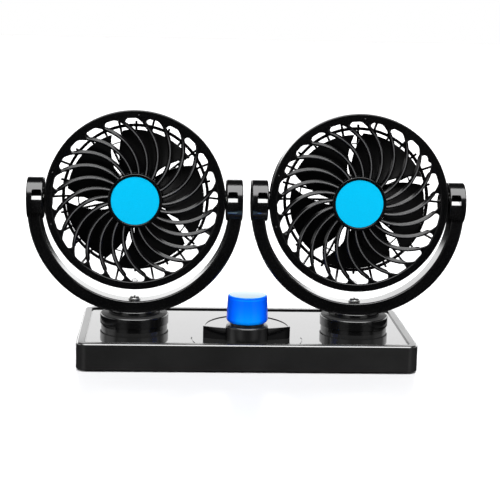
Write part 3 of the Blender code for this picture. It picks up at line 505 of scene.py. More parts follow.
def screw(head_radius, head_height, shank_radius, shank_length, crown_share=0.45):
    """A pan-head screw, its head up, its seat at the origin."""
    head = cylinder(head_radius, head_height, (0, 0, head_height / 2), steps=40)
    round_where(lambda at: at.z > head_height - tiny, head_height * crown_share, segments=4)
    for turn in (0, quarter):
        slot = cube((head_radius * cross_length, head_radius * cross_width, head_height), (0, 0, 0))
        put(slot, (0, 0, head_height), (0, 0, turn))
        carve(head, slot)
    shank = cylinder(shank_radius, shank_length + head_height / 2,
                     (0, 0, head_height / 4 - shank_length / 2), steps=24)
    round_where(lambda at: at.z < tiny - shank_length, shank_radius * tip_share, segments=2)
    carve(head, shank, "UNION")
    return head


zinc, zinc_shader, place = start_finish("plated_steel", Metallic=1.0)
scratches = place.noise(900.0, 4.0)
feed(zinc_shader, Base_Color=scratches.colours((0.3, (0.50, 0.50, 0.49)), (0.7, (0.66, 0.66, 0.65))),
     Roughness=0.22 + 0.25 * scratches, Normal=scratches.grain(0.00001, scratches))
cover_head_height = 0.0008
cover_shank_radius = 0.0013
for number in (1, 2, 3, 4):
    low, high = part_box(f"cover_screw_{number}")
    middle = (low + high) / 2
    piece = screw((high.x - low.x) / 2, cover_head_height, cover_shank_radius,
                  high.z - low.z - cover_head_height)
    put(piece, (middle.x, middle.y, low.z + cover_head_height), (math.pi, 0, 0))
    fit(piece, f"cover_screw_head_{number}", zinc, "bright_steel", "base", f"cover_screw_{number}")


# Cable gland: a soft rubber bush with a rolled flange, snapped into the rear wall.
# The lead's way through it is the small bore.
def turned(profile, steps=96):
    """A profile of (radius, height) points, spun about Z into a closed shape."""
    alone()
    bpy.ops.mesh.primitive_circle_add(vertices=len(profile), radius=1, fill_type="NOTHING")
    piece = bpy.context.object
    for corner, (radius, height) in zip(piece.data.vertices, profile):
        corner.co = (radius, 0, height)
    if profile[0][0] < tiny and profile[-1][0] < tiny:
        pick("EDGE", lambda edge: all(v.co.x < tiny for v in edge.verts))
        edit(bpy.ops.mesh.delete, type="EDGE")
    edit_all(bpy.ops.mesh.spin, steps=steps, angle=2 * math.pi, center=(0, 0, 0), axis=(0, 0, 1))
    edit_all(bpy.ops.mesh.remove_doubles, threshold=tiny)
    edit_all(bpy.ops.mesh.normals_make_consistent, inside=False)
    bpy.ops.object.mode_set(mode="OBJECT")
    return piece


gland_flange = 0.0009
gland_barrel_radius = 0.0034
gland_bore_radius = 0.0020
gland_length = gland_high.y - gland_low.y
gland = turned([(gland_bore_radius, 0), (gland_flange_radius, 0), (gland_flange_radius, -gland_flange),
                (gland_barrel_radius, -gland_flange), (gland_barrel_radius, -gland_length),
                (gland_bore_radius, -gland_length)], gland_steps)
soften(small_edge)
put(gland, (gland_middle.x, base_high.y, gland_middle.z), (-quarter, 0, 0))
fit(gland, "gland_bush", rubber, "rubber_black", "base", "cable_gland")

# Switch platform: a gloss black step with a half-round back, a bowed front and a top sunk inside a thin lip.
# It is open in front, where the bezel of the switch stands.
platform_low, platform_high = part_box("switch_platform")
platform_bulge = 0.0075
platform_edge = 0.0004
platform_lip = 0.0008
platform_lip_drop = 0.0005


def joined(pieces):
    """Several pieces made one."""
    alone()
    for piece in pieces:
        piece.select_set(True)
    bpy.context.view_layer.objects.active = pieces[0]
    bpy.ops.object.join()
    return pieces[0]


platform_half_width = (platform_high.x - platform_low.x) / 2
platform_line_y = platform_low.y + platform_bulge
platform_length = platform_high.y - platform_line_y
platform_height = platform_high.z - base_high.z + recess_depth
front_radius = (platform_half_width ** 2 + platform_bulge ** 2) / (2 * platform_bulge)
platform_middle_z = platform_high.z - platform_height / 2
platform = cylinder(platform_half_width, platform_height, (0, 0, platform_middle_z), steps=160)
platform.scale.y = platform_length / platform_half_width
platform.location.y = platform_line_y
settle()
split = {"plane_co": (0, platform_line_y, 0), "plane_no": (0, 1, 0)}
edit_all(bpy.ops.mesh.bisect, **split, clear_inner=True)
platform_front = cylinder(front_radius, platform_height,
                          (0, platform_low.y + front_radius, platform_middle_z), steps=360)
edit_all(bpy.ops.mesh.bisect, **split, clear_outer=True)
joined([platform, platform_front])
edit_all(bpy.ops.mesh.remove_doubles, threshold=small_edge)
pick("EDGE", lambda edge: not is_upright(edge) and
     all(abs(end.co.y - platform_line_y) < tiny for end in edge.verts))
edit(bpy.ops.mesh.dissolve_edges, use_verts=False)
edit_all(bpy.ops.mesh.normals_make_consistent, inside=False)
round_where(lambda at: at.z > platform_high.z - tiny, platform_edge, segments=5)
pick_level(platform_high.z)
step_in(platform_lip, -platform_lip_drop)
bezel_low, bezel_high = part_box("switch_bezel")
bezel_radius = (bezel_high.x - bezel_low.x) / 2
carve(platform, cylinder(bezel_radius + small_edge, 4 * platform_height,
                         (knob_middle.x, knob_middle.y, platform_middle_z), steps=96))
gloss_colours = {"dark": (0.0016, 0.0016, 0.0018), "light": (0.0024, 0.0024, 0.0026)}
gloss_black = moulded("gloss_abs", **gloss_colours, gloss=0.08, grain=700.0, depth=0.000004)
fit(platform, "platform_moulding", gloss_black, "gloss_black", "base", "switch_platform")

# Switch bezel: a satin black collar on the floor with a smaller neck under the knob.
# It hides the nut that holds the switch.
bezel_neck_radius = 0.0115
bezel_neck_height = 0.0014
bezel_edge = 0.0016
neck_edge = 0.0004
bezel_step_z = bezel_high.z - bezel_neck_height
bezel_bore = 0.0034


def round_ring(radius, height, width, segments):
    """Rounds the edge of a turned piece that runs round at a radius and a height."""
    round_where(lambda at: abs(at.z - height) < tiny and abs(at.xy.length - radius) < tiny, width, segments)


bezel = turned([(bezel_bore, bezel_high.z), (bezel_neck_radius, bezel_high.z),
                (bezel_neck_radius, bezel_step_z), (bezel_radius, bezel_step_z),
                (bezel_radius, bezel_low.z), (bezel_bore, bezel_low.z)])
round_ring(bezel_radius, bezel_step_z, bezel_edge, segments=6)
round_ring(bezel_neck_radius, bezel_high.z, neck_edge, segments=3)
put(bezel, (knob_middle.x, knob_middle.y, 0))
bezel_black = moulded("bezel_abs", **gloss_colours, gloss=0.36, grain=1500.0, depth=0.000008,
                      Specular_IOR_Level=0.9)
fit(bezel, "bezel_collar", bezel_black, "gloss_black", "base", "switch_bezel")

# Rotary switch: body, bush, nut and shaft, all out of sight below the bezel and inside the knob.
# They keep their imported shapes, the body in black phenolic and the nut and shaft in plated steel.
phenolic = moulded("switch_phenolic", (0.014, 0.012, 0.011), (0.022, 0.019, 0.017),
                   gloss=0.5, grain=1200.0, depth=0.00002)
dress(phenolic, "switch_body")
dress(zinc, "switch_nut", "knob_shaft")

# Knob: clear blue polycarbonate pushed on the shaft, hollow. Its colour and a faint painted glow grow paler
# towards its foot, with a painted highlight band under its rim, a painted pale reflection on its lid and
# painted shade on its sides towards +X and -X. It tapers a little and has a crisp rim and a rounded foot.
knob_radius = (knob_high.x - knob_low.x) / 2
knob_top_radius = 0.0133
knob_foot_round = 0.0030
knob_foot_edge = 0.0027
knob_rim = 0.0009
knob_dome = 0.0004
knob_wall = 0.0022
shaded_flank = (0.45, 0.95)
lid_reflection_edge = (0.965, 0.985)
rim_highlight_low = (0.84, 0.88)
rim_highlight_high = (0.90, 0.94)
knob_height = knob_high.z - knob_low.z
knob_inner = knob_radius - knob_wall - knob_foot_round / 2
knob = turned([(0, knob_high.z), (knob_top_radius / 2, knob_high.z - knob_dome / 4),
               (knob_top_radius, knob_high.z - knob_dome), (knob_radius, knob_low.z + knob_foot_round),
               (knob_radius, knob_low.z), (knob_inner, knob_low.z), (knob_inner, knob_high.z - knob_wall),
               (0, knob_high.z - knob_wall)], steps=128)
round_ring(knob_radius, knob_low.z, knob_foot_edge, segments=6)
round_ring(knob_top_radius, knob_high.z - knob_dome, knob_rim, segments=4)
put(knob, (knob_middle.x, knob_middle.y, 0))
# The emission strength gives the knob a faint painted glow, though it is no lamp.
knob_blue, knob_shader, place = start_finish("blue_polycarbonate", Roughness=0.12, Specular_IOR_Level=0.10,
                                             Emission_Strength=0.05)
# Painted light: the colour and the glow are paler towards the foot.
rise = (place.part("Z") - knob_low.z) / knob_height
cloud = place.noise(90.0)
# Painted shade: the sides towards +X and -X are darkened.
side_shade = (place.part("X").size() / knob_radius).rising(*shaded_flank)
# Painted reflection: the lid is painted pale.
lid_reflection = rise.rising(*lid_reflection_edge)
# Painted highlight: a paler band just under the rim.
rim_highlight = rise.rising(*rim_highlight_low) * (1 - rise.rising(*rim_highlight_high))
# All the painted light and shade of the knob, with a faint random cloud.
painted_light = (0.70 - 0.55 * rise + 0.30 * rim_highlight + 0.02 * cloud) * (1 - 0.85 * side_shade)
tone = painted_light * (1 - lid_reflection) + lid_reflection
feed(knob_shader, Base_Color=tone.colours((0.00, (0.0, 0.060, 0.66)), (0.30, (0.0, 0.115, 0.95)),
                                          (0.45, (0.0, 0.15, 0.95)), (0.70, (0.0, 0.26, 0.92)),
                                          (0.90, (0.03, 0.30, 0.80)), (0.98, (0.18, 0.27, 0.30))),
     Emission_Color=tone.colours((0.0, (0.0, 0.10, 0.90)), (0.5, (0.0, 0.16, 1.0)), (1.0, (0.0, 0.28, 1.0))))
fit(knob, "knob_cap", knob_blue, "knob_blue", "switch_knob", "knob")

# Pedestals: a low collar on the floor and a drum that turns on it, both black ABS.
# The drum's wall and rounded edge are glossier than its top, and a thin dark joint shows below it.
satin = {"dark": (0.0018, 0.0018, 0.0020), "light": (0.0030, 0.0030, 0.0032),
         "gloss": 0.17, "grain": 2200.0, "depth": 0.00001, "Specular_IOR_Level": 0.8}
satin_black = moulded("satin_abs", **satin)
collar_edge = 0.00015
drum_edge = 0.0011
bolt_way = 0.0033


def band(inner, outer, low, high, steps=96):
    """A turned ring, or a disc with an inner radius of zero."""
    return turned([(inner, high), (outer, high), (outer, low), (inner, low)], steps)


def copied(piece, move):
    """A copy of a piece with its own mesh, moved or turned."""
    only(piece)
    copy = piece.copy()
    copy.data = piece.data.copy()
    copy.data.transform(move)
    bpy.context.scene.collection.objects.link(copy)
    return copy


def paired(piece, kind, finish, slot, body, node):
    """Fits a piece of the left fan, and a copy of it to the right fan."""
    other = copied(piece, Matrix.Translation((-2 * head_centre.x, 0, 0)))
    for name, made in (("left", piece), ("right", other)):
        fit(made, f"{name}_{kind}", finish, slot, body.replace("*", name), f"{name}_{node}")


collar_low, collar_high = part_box("left_pedestal_collar")
grille_low, grille_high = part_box("left_front_grille")
collar_middle = (collar_low + collar_high) / 2
head_centre = Vector((collar_middle.x, collar_middle.y, (grille_low.z + grille_high.z) / 2))
heads = {"left": head_centre, "right": head_centre * Vector((-1, 1, 1))}
collar_radius = (collar_high.x - collar_low.x) / 2
collar = turned([(bolt_way, collar_high.z), (collar_radius, collar_high.z),
                 (collar_radius + collar_edge, collar_low.z), (bolt_way, collar_low.z)])
soften(collar_edge, segments=2)
put(collar, (head_centre.x, head_centre.y, 0))
paired(collar, "collar_ring", satin_black, "satin_black", "base", "pedestal_collar")
drum_low, drum_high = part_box("left_swivel_drum")
drum_radius = (drum_high.x - drum_low.x) / 2
drum = band(bolt_way, drum_radius, drum_low.z, drum_high.z)
round_ring(drum_radius, drum_high.z, drum_edge, segments=6)
put(drum, (head_centre.x, head_centre.y, 0))
drum_black, drum_shader, place = start_finish("drum_abs", Specular_IOR_Level=0.9)
drift = place.noise(flow_scale, flow_detail)
drum_top = place.part("Z").rising(drum_high.z - drum_edge / 4, drum_high.z)
feed(drum_shader, Base_Color=drift.colours((dark_at, satin["dark"]), (light_at, satin["light"])),
     Roughness=0.15 + 0.05 * drift + 0.40 * drum_top)
paired(drum, "drum_cover", drum_black, "satin_black", "*_swivel", "swivel_drum")

# Swivel bolts: plated pan-head bolts through the yoke's foot, the drum and the floor, with a nut below.
# They hold the yokes down, and the yokes turn on them.
bolt_low, bolt_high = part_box("left_swivel_bolt")
bolt_head_height = 0.0020
bolt_radius = 0.0030
bolt_crown_share = 0.9
bolt = screw((bolt_high.x - bolt_low.x) / 2, bolt_head_height, bolt_radius,
             bolt_high.z - bolt_low.z - bolt_head_height, bolt_crown_share)
put(bolt, (head_centre.x, head_centre.y, bolt_high.z - bolt_head_height))
paired(bolt, "bolt", zinc, "bright_steel", "*_swivel", "swivel_bolt")
dress(zinc, "left_swivel_nut", "right_swivel_nut")

# Yokes: thick C-shaped arms of satin black ABS with round ears, each moulded in one with its foot.
# Every ear has a window in front, glossy inside round a thick post, and a plugged bore for the pivot.
yoke_low, yoke_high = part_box("left_yoke")
yoke_outer_radius = 0.0743
yoke_band = 0.0090
yoke_depth = 0.0160
yoke_edge = 0.0012
yoke_drop = 0.0063
ear_radius = 0.0145
ear_inner_x = 0.0632
ear_outer_x = (yoke_high.x - yoke_low.x) / 2
ear_edge = 0.0008
window_wall = 0.0009
window_width = 0.0066
window_top = 0.0072
window_bottom = 0.0089
window_back = 0.0056
window_corner = 0.0010
post_radius = 0.0088
post_forward = 0.0042
post_down = 0.0032
yoke_foot_radius = 0.0180
yoke_foot_height = 0.0031
yoke_foot_edge = 0.0008
cap_radius = 0.0060
cap_seat = 0.0015
cutter_reach = 0.0020
yoke_foot_z = yoke_low.z - head_centre.z
along_x = (0, quarter, 0)


def from_head(place):
    """How far a place lies across from the nearer head's centre, in front of it and above it."""
    return (place.part("X").size() - abs(head_centre.x), head_centre.y - place.part("Y"),
            place.part("Z") - head_centre.z)


def rounded(piece, width, segments, angle):
    """Rounds the edges that cutting has left, where they turn by more than an angle in degrees."""
    modified(piece, "BEVEL", width=width, segments=segments, limit_method="ANGLE",
             angle_limit=math.radians(angle), use_clamp_overlap=True)


alone()
bpy.ops.mesh.primitive_plane_add(size=1, location=(yoke_outer_radius - yoke_band / 2, 0, -yoke_drop))
yoke = bpy.context.object
yoke.scale = (yoke_band, yoke_depth, 1)
settle()
edit_all(bpy.ops.mesh.bevel, offset=yoke_edge, segments=4, affect="VERTICES")
edit_all(bpy.ops.mesh.spin, steps=72, angle=math.pi, center=(0, 0, -yoke_drop), axis=(0, -1, 0))
edit_all(bpy.ops.mesh.normals_make_consistent, inside=False)
pick_level(-yoke_drop)
draw_out(0, 0, yoke_drop)
foot = band(0, yoke_foot_radius, yoke_foot_z, yoke_foot_z + yoke_foot_height)
round_ring(yoke_foot_radius, yoke_foot_z + yoke_foot_height, yoke_foot_edge, segments=4)
carve(yoke, foot, "UNION")
for way in (-1, 1):
    ear = cylinder(ear_radius, ear_outer_x - ear_inner_x, (way * (ear_outer_x + ear_inner_x) / 2, 0, 0),
                   steps=96, turn=along_x)
    soften(ear_edge, segments=4, angle=60)
    carve(yoke, ear, "UNION")
for way in (-1, 1):
    window_x = way * (ear_inner_x + window_wall + window_width / 2)
    window_reach = ear_radius + cutter_reach - window_back
    window = cube((window_width, window_reach, window_top + window_bottom),
                  (window_x, -window_back - window_reach / 2, (window_top - window_bottom) / 2))
    soften(window_corner)
    carve(window, cylinder(post_radius, 2 * window_width, (window_x, -post_forward, -post_down),
                           steps=72, turn=along_x))
    carve(yoke, window)
    carve(yoke, cylinder(cap_radius + small_edge / 2, 2 * cap_seat, (way * ear_outer_x, 0, 0),
                         steps=64, turn=along_x))
rounded(yoke, small_edge, segments=2, angle=38)
put(yoke, head_centre)
yoke_black, yoke_shader, place = moulded_finish("yoke_abs", **satin, Coat_Roughness=0.05, Coat_IOR=2.3)
across, forward, upward = from_head(place)
in_window = (across.size() > ear_inner_x + window_wall / 2) * (forward > window_back)
in_window = in_window * (across.size() < ear_inner_x + window_wall * 1.5 + window_width)
in_window = in_window * (upward < window_top) * (upward > -window_bottom)
in_window = in_window * (1 - (forward * forward + upward * upward > (ear_radius - small_edge) ** 2))
feed(yoke_shader, Coat_Weight=in_window)
paired(yoke, "yoke_arm", yoke_black, "satin_black", "*_swivel", "yoke")

# Pivot caps: gloss black discs pressed into the ears over the pivot pins.
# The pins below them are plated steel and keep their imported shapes.
cap_thickness = 0.0012
cap_edge = 0.0003
for way, place_name in ((-1, "left"), (1, "right")):
    cap = band(0, cap_radius, ear_outer_x - cap_thickness, ear_outer_x, steps=64)
    soften(cap_edge)
    put(cap, head_centre, (0, way * quarter, 0))
    paired(cap, f"{place_name}_cap_disc", gloss_black, "gloss_black", "*_swivel", f"fan_{place_name}_cap")
    dress(zinc, f"left_fan_{place_name}_pin", f"right_fan_{place_name}_pin")

# Rear guards: satin black ABS mouldings, each a rim with two pivot bosses, twenty-eight ribs, two rings
# and the cup that holds the motor. Every other rib runs out to the rim, and the others stop past the ring.
facing = (quarter, 0, 0)
rim_outer = 0.0620
rim_inner = 0.0602
rim_back = -0.0040
rim_front = 0.0070
guard_back = -0.0104
guard_rib_depth = 0.0024
guard_rib_width = 0.0016
guard_rib_count = 28
guard_ring_radius = 0.0505
guard_ring_width = 0.0022
inner_ring_radius = 0.0400
inner_ring_width = 0.0008
guard_ring_extra = 0.0003
guard_step = 0.0071
rib_stub = 0.0030
cup_outer = 0.0156
cup_inner = 0.0141
cup_front = -0.0030
cup_wall = 0.0015
cup_back = -0.0212
cup_nose = 0.0043
boss_radius = 0.0065
boss_depth = 0.0054
boss_face = 0.0629
grille_post_radius = 0.0020
grille_post_circle = 0.0595
grille_post_back = -0.0046
grille_post_angles = [math.radians(angle) for angle in (150, 270, 30)]


def ringed(piece, count, phase=0.0):
    """A piece copied round Z and joined."""
    copies = [copied(piece, Matrix.Rotation(phase + 2 * math.pi * number / count, 4, "Z"))
              for number in range(count)]
    bpy.data.objects.remove(piece)
    return joined(copies)


guard_pieces = [band(rim_inner, rim_outer, rim_back, rim_front, steps=144)]
soften(small_edge)
for radius, width in ((guard_ring_radius, guard_ring_width), (inner_ring_radius, inner_ring_width)):
    guard_pieces.append(band(radius - width / 2, radius + width / 2, guard_back - guard_ring_extra,
                             guard_back + guard_rib_depth + guard_ring_extra, steps=112))
    soften(width / 4, segments=2)
rib_start = (cup_inner + cup_outer) / 2
rib_middle_z = guard_back + guard_rib_depth / 2
long_rib = cube((guard_ring_radius - rib_start, guard_rib_width, guard_rib_depth),
                ((guard_ring_radius + rib_start) / 2, 0, rib_middle_z))
pick("FACE", lambda face: face.normal.x > 0.99)
draw_out((rim_inner + rim_outer) / 2 - guard_ring_radius, 0, guard_step)
soften(guard_rib_width / 4, segments=2, angle=50)
guard_pieces.append(ringed(long_rib, guard_rib_count // 2))
stub_rib = cube((guard_ring_radius + rib_stub - rib_start, guard_rib_width, guard_rib_depth),
                ((guard_ring_radius + rib_stub + rib_start) / 2, 0, rib_middle_z))
soften(guard_rib_width / 4, segments=2, angle=50)
guard_pieces.append(ringed(stub_rib, guard_rib_count // 2, 2 * math.pi / guard_rib_count))
guard_pieces.append(turned([(cup_nose, cup_front), (cup_outer, cup_front), (cup_outer, cup_back),
                            (cup_inner, cup_back), (cup_inner, cup_front - cup_wall),
                            (cup_nose, cup_front - cup_wall)]))
soften(small_edge)
for way in (-1, 1):
    guard_pieces.append(cylinder(boss_radius, boss_depth, (way * (boss_face - boss_depth / 2), 0, 0),
                                 steps=64, turn=along_x))
    soften(small_edge, angle=60)
for angle in grille_post_angles:
    guard_pieces.append(cylinder(grille_post_radius, rim_front - grille_post_back,
                                 (grille_post_circle * math.cos(angle), grille_post_circle * math.sin(angle),
                                  (rim_front + grille_post_back) / 2), steps=32))
    soften(small_edge, segments=2, angle=60)
guard = joined(guard_pieces)
put(guard, head_centre, facing)
paired(guard, "guard_moulding", satin_black, "satin_black", "*_head", "rear_guard")

# Grille screws: three small plated screws, put in from behind through the rim's posts.
# They hold the front grille to the rear guard.
grille_head_height = 0.0012
grille_shank_radius = 0.0012
for number in (1, 2, 3):
    low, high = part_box(f"left_grille_screw_{number}")
    middle = (low + high) / 2
    piece = screw((high.x - low.x) / 2, grille_head_height, grille_shank_radius,
                  high.y - low.y - grille_head_height)
    put(piece, (middle.x, high.y - grille_head_height, middle.z), (-quarter, 0, 0))
    paired(piece, f"grille_screw_head_{number}", zinc, "bright_steel", "*_head", f"grille_screw_{number}")

# Motors: small plated cans in the guards' cups, each held from the front by two screws.
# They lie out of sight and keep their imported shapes. A push-on cover with vents closes each cup.
motor_can, motor_shader, place = start_finish("motor_can", Metallic=1.0)
sheet_grain = place.noise(1500.0, 3.0)
feed(motor_shader, Base_Color=sheet_grain.colours((0.3, (0.38, 0.38, 0.37)), (0.7, (0.50, 0.50, 0.49))),
     Roughness=0.32 + 0.2 * sheet_grain)
for name in ("left", "right"):
    dress(motor_can, f"{name}_motor")
    dress(zinc, f"{name}_motor_screw_1", f"{name}_motor_screw_2", f"{name}_motor_shaft")
cover_low, cover_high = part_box("left_motor_cover")
cover_front_z = head_centre.y - cover_low.y
cover_back_z = head_centre.y - cover_high.y
cover_steps = 96
vent_inner = 0.0058
vent_outer = 0.0112
vent_depth = 0.0007
vent_lip = 0.0003
vent_pitch = 8
cover = turned([(0, cover_front_z), (cup_outer, cover_front_z), (cup_outer, cover_back_z),
                (vent_outer, cover_back_z), (vent_inner, cover_back_z), (0, cover_back_z)], cover_steps)
round_ring(cup_outer, cover_back_z, small_edge, segments=4)


def is_vent(face):
    """Every other group of four faces between the two vent radii."""
    middle = face.calc_center_median()
    step = int((math.atan2(middle.y, middle.x) % (4 * quarter)) / (4 * quarter) * cover_steps)
    in_vent = step % vent_pitch < vent_pitch / 2
    return face.normal.z < -0.99 and vent_inner < middle.xy.length < vent_outer and in_vent


pick("FACE", is_vent)
step_in(vent_lip, vent_depth)
put(cover, head_centre, facing)
paired(cover, "motor_cap", satin_black, "satin_black", "*_head", "motor_cover")

# Impellers: gloss black ABS hubs with five wide twisted blades, moulded in one.
# They push on to the motors' shafts, and each has stopped at an angle of its own.
blade_count = 5
blade_tip_radius = 0.0478
blade_front = 0.0056
blade_back = -0.0058
blade_thickness = 0.0013
blade_gap = math.radians(9)
blade_lean = math.radians(-19)
blade_curve = 1.15
wheel_radius = 0.0195
wheel_wall = 0.0015
wheel_front = 0.0066
wheel_back = -0.0068
wheel_edge = 0.0012
blade_phases = {"left": math.radians(57), "right": math.radians(42)}


def shaped(place_of, columns, rows):
    """A grid whose corners a rule puts in place, from two shares between zero and one."""
    alone()
    bpy.ops.mesh.primitive_grid_add(x_subdivisions=columns, y_subdivisions=rows, size=1)
    piece = bpy.context.object
    for corner in piece.data.vertices:
        corner.co = place_of(corner.co.x + 0.5, corner.co.y + 0.5)
    return piece


def thickened(piece, thickness, offset, edge):
    """A sheet made solid, its edges rounded."""
    modified(piece, "SOLIDIFY", thickness=thickness, offset=offset)
    rounded(piece, edge, segments=2, angle=50)


def blade_place(across, out):
    """Where a share across a blade and a share out from the hub lie."""
    root = wheel_radius - wheel_wall / 2
    radius = root + (blade_tip_radius - root) * out
    span = 2 * math.pi / blade_count - blade_gap
    angle = span * across + blade_lean * out
    height = blade_back + (blade_front - blade_back) * (1 - across) ** blade_curve
    return radius * math.cos(angle), radius * math.sin(angle), height


impeller_black = moulded("impeller_abs", (0.0014, 0.0014, 0.0016), (0.0022, 0.0022, 0.0024),
                         gloss=0.34, grain=1600.0, depth=0.00001, Specular_IOR_Level=0.12)
hub = turned([(0, wheel_front), (wheel_radius, wheel_front), (wheel_radius, wheel_back),
              (wheel_radius - wheel_wall, wheel_back), (wheel_radius - wheel_wall, wheel_front - wheel_wall),
              (0, wheel_front - wheel_wall)])
round_ring(wheel_radius, wheel_front, wheel_edge, segments=5)
blade = shaped(blade_place, columns=20, rows=12)
thickened(blade, blade_thickness, offset=0, edge=blade_thickness / 3)
wheel = joined([hub, ringed(blade, blade_count)])
for name, centre in heads.items():
    impeller = copied(wheel, Matrix.Rotation(blade_phases[name], 4, "Z"))
    put(impeller, centre, facing)
    fit(impeller, f"{name}_fan_wheel", impeller_black, "gloss_black", f"{name}_wheel", f"{name}_impeller")
bpy.data.objects.remove(wheel)

# Front grilles: gloss black ABS mouldings with a flat ring, twenty-four crowned ribs that spiral out from
# the hub, each flaring into the ring so that the openings end round, and a bezel for the disc. The crowns
# carry a painted highlight, paler and less so towards the ring, and three marks of the ejector pins show on
# each ring.
head_radius = (grille_high.x - grille_low.x) / 2
hub_proud = 0.0012
flange_front = head_centre.y - grille_low.y - hub_proud
flange_width = 0.0055
flange_thickness = 0.0022
flange_chamfer = 0.0009
skirt_wall = 0.0018
skirt_depth = 0.0042
hub_bezel_radius = 0.0188
hub_bezel_wall = 0.0019
hub_depth = 0.0042
hub_edge = 0.0005
rib_count = 24
rib_width = 0.0015
rib_depth = 0.0030
rib_set_back = 0.0003
rib_crown = 0.0005
rib_crowding = 1.5
rib_phases = {"left": math.radians(7.1), "right": math.radians(8.2)}
rib_lean = math.radians(21.5)
rib_sweep = math.radians(16)
web_radius = 0.0023
corner_radius = 0.0012
crown_highlight_depth = (0.00004, 0.00018)
crown_highlight_fade = (0.70, 0.94)
flange_inner = head_radius - flange_width
rib_root = hub_bezel_radius - hub_bezel_wall / 2
rib_end = flange_inner + flange_width / 4
skirt_back = flange_front - skirt_depth


def rib_angle(radius):
    """How far round the fan's axis a rib has swept at a radius."""
    share = (radius - rib_root) / (rib_end - rib_root)
    return rib_lean * share + rib_sweep * share ** 2


def rib_slope(radius):
    """The tangent of a rib's angle to the radius that it crosses."""
    share = (radius - rib_root) / (rib_end - rib_root)
    return radius * (rib_lean + 2 * rib_sweep * share) / (rib_end - rib_root)


web_centre = flange_inner - web_radius
web_stretch = math.hypot(1, rib_slope(web_centre))
web_touch = web_centre - web_radius * rib_slope(web_centre) / web_stretch
web_angle = rib_angle(web_centre) - (rib_width / 2 + web_radius) * web_stretch / web_centre


def rib_place(along, across):
    """Where a share along a rib and a share across it lie. Both corners with the ring are rounded."""
    radius = rib_root + (rib_end - rib_root) * (1 - (1 - along) ** rib_crowding)
    half = rib_width / 2 * math.hypot(1, rib_slope(radius))
    into_corner = min(1.0, max(0.0, (radius - flange_inner + corner_radius) / corner_radius))
    leading = rib_angle(radius) + (half + corner_radius * (1 - math.sqrt(1 - into_corner ** 2))) / radius
    trailing = rib_angle(radius) - half / radius
    if radius > web_touch:
        height = min(radius - web_centre, web_radius)
        trailing = web_angle + math.sqrt(web_radius ** 2 - height ** 2) / radius
    turn = trailing + (leading - trailing) * across
    rise = hub_proud / 2 * (1 - (radius - hub_bezel_radius) / (flange_inner - hub_bezel_radius))
    crown = rib_crown * (2 * across - 1) ** 2 * (1 - into_corner)
    return radius * math.cos(turn), radius * math.sin(turn), flange_front - rib_set_back + rise - crown


grille_black, grille_shader, place = start_finish("grille_abs")
drift = place.noise(flow_scale, flow_detail)
fine = place.noise(900.0)
across, forward, upward = from_head(place)
reach = (across * across + upward * upward) ** 0.5
share_out = (reach - hub_bezel_radius) / (flange_inner - hub_bezel_radius)
rib_front = flange_front - rib_set_back + hub_proud / 2 * (1 - share_out)
# Painted highlight: the ribs' crowns are painted paler, fading out towards the ring.
crown_highlight = 1 - (rib_front - forward).rising(*crown_highlight_depth)
crown_highlight = crown_highlight * reach.rising(hub_bezel_radius, hub_bezel_radius + small_edge)
crown_highlight = crown_highlight * (1 - share_out.rising(*crown_highlight_fade))
tone = 0.4 * drift + 0.6 * crown_highlight
feed(grille_shader, Base_Color=tone.colours((0.14, (0.0018, 0.0018, 0.0020)),
                                            (0.28, (0.0028, 0.0028, 0.0030)),
                                            (0.80, (0.080, 0.080, 0.082))),
     Roughness=uneven(0.15, drift, fine) + 0.15 * crown_highlight, Normal=fine.grain(0.000006, fine))
hub_front = flange_front + hub_proud
dimple_radius = 0.0010
dimple_depth = 0.0005
dimple_circle = 0.0598
dimple_angles = [math.radians(angle) for angle in (88, 161, 196)]
plate_front = 0.0110
plate_back = 0.0095
bezel_inner = hub_bezel_radius - hub_bezel_wall
flange = turned([(flange_inner, flange_front), (head_radius, flange_front), (head_radius, skirt_back),
                 (head_radius - skirt_wall, skirt_back),
                 (head_radius - skirt_wall, flange_front - flange_thickness),
                 (flange_inner, flange_front - flange_thickness)], steps=144)
pick("EDGE", lambda edge: all(end.co.z > flange_front - tiny for end in edge.verts) and
     abs(edge.verts[0].co.xy.length - edge.verts[1].co.xy.length) < tiny)
edit(bpy.ops.mesh.bevel, offset=flange_chamfer, segments=3, affect="EDGES")
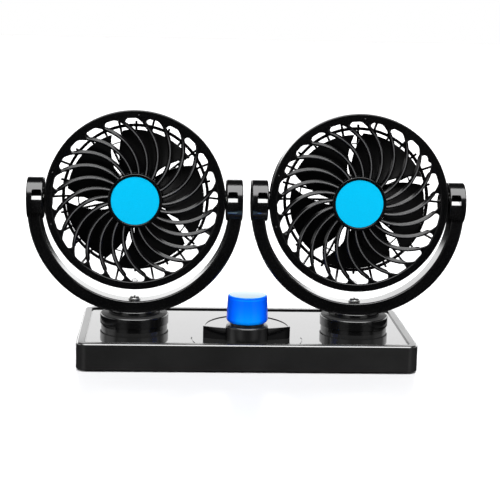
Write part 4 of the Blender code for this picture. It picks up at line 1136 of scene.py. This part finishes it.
for angle in dimple_angles:
    alone()
    bpy.ops.mesh.primitive_uv_sphere_add(segments=20, ring_count=12, radius=dimple_radius,
                                         location=(dimple_circle * math.cos(angle),
                                                   dimple_circle * math.sin(angle),
                                                   flange_front + dimple_radius - dimple_depth))
    settle()
    carve(flange, bpy.context.object)
rib = shaped(rib_place, columns=34, rows=8)
thickened(rib, rib_depth, offset=-1, edge=rib_width / 5)
ribs = ringed(rib, rib_count)
hub = turned([(0, plate_front), (bezel_inner, plate_front), (bezel_inner, hub_front),
              (hub_bezel_radius, hub_front), (hub_bezel_radius, hub_front - hub_depth),
              (bezel_inner, hub_front - hub_depth), (bezel_inner, plate_back), (0, plate_back)])
soften(hub_edge)
for name, centre in heads.items():
    grille = joined([copied(flange, Matrix()), copied(ribs, Matrix.Rotation(rib_phases[name], 4, "Z")),
                     copied(hub, Matrix())])
    put(grille, centre, facing)
    fit(grille, f"{name}_grille_moulding", grille_black, "gloss_black", f"{name}_head",
        f"{name}_front_grille")
for piece in (flange, ribs, hub):
    bpy.data.objects.remove(piece)

# Hub discs: plain sky-blue printed aluminium discs, pressed into the grilles' bezels.
# Each is slightly domed, with a fine turned grain.
disc_low, disc_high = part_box("left_hub_disc")
disc_radius = (disc_high.x - disc_low.x) / 2
disc_front = head_centre.y - disc_low.y
disc_back = head_centre.y - disc_high.y
disc_dome = 0.0002
disc_edge = 0.00015
turning_rate = 9000.0
disc = turned([(0, disc_front), (disc_radius / 2, disc_front - disc_dome / 4),
               (disc_radius, disc_front - disc_dome), (disc_radius, disc_back), (0, disc_back)], steps=128)
soften(disc_edge, angle=60)
put(disc, head_centre, facing)
disc_blue, disc_shader, place = start_finish("disc_blue", Specular_IOR_Level=0.05)
across, forward, upward = from_head(place)
reach = (across * across + forward * forward + upward * upward) ** 0.5
turning = reach.math("SINE", reach * turning_rate)
speckle = place.noise(1400.0)
feed(disc_shader, Base_Color=speckle.colours((0.3, (0.0, 0.42, 0.71)), (0.7, (0.0, 0.45, 0.75))),
     Roughness=0.30 + 0.06 * speckle + 0.03 * turning,
     Normal=speckle.grain(0.000004, 0.5 * turning + speckle))
paired(disc, "disc", disc_blue, "disc_blue", "*_head", "hub_disc")

bpy.context.view_layer.update()
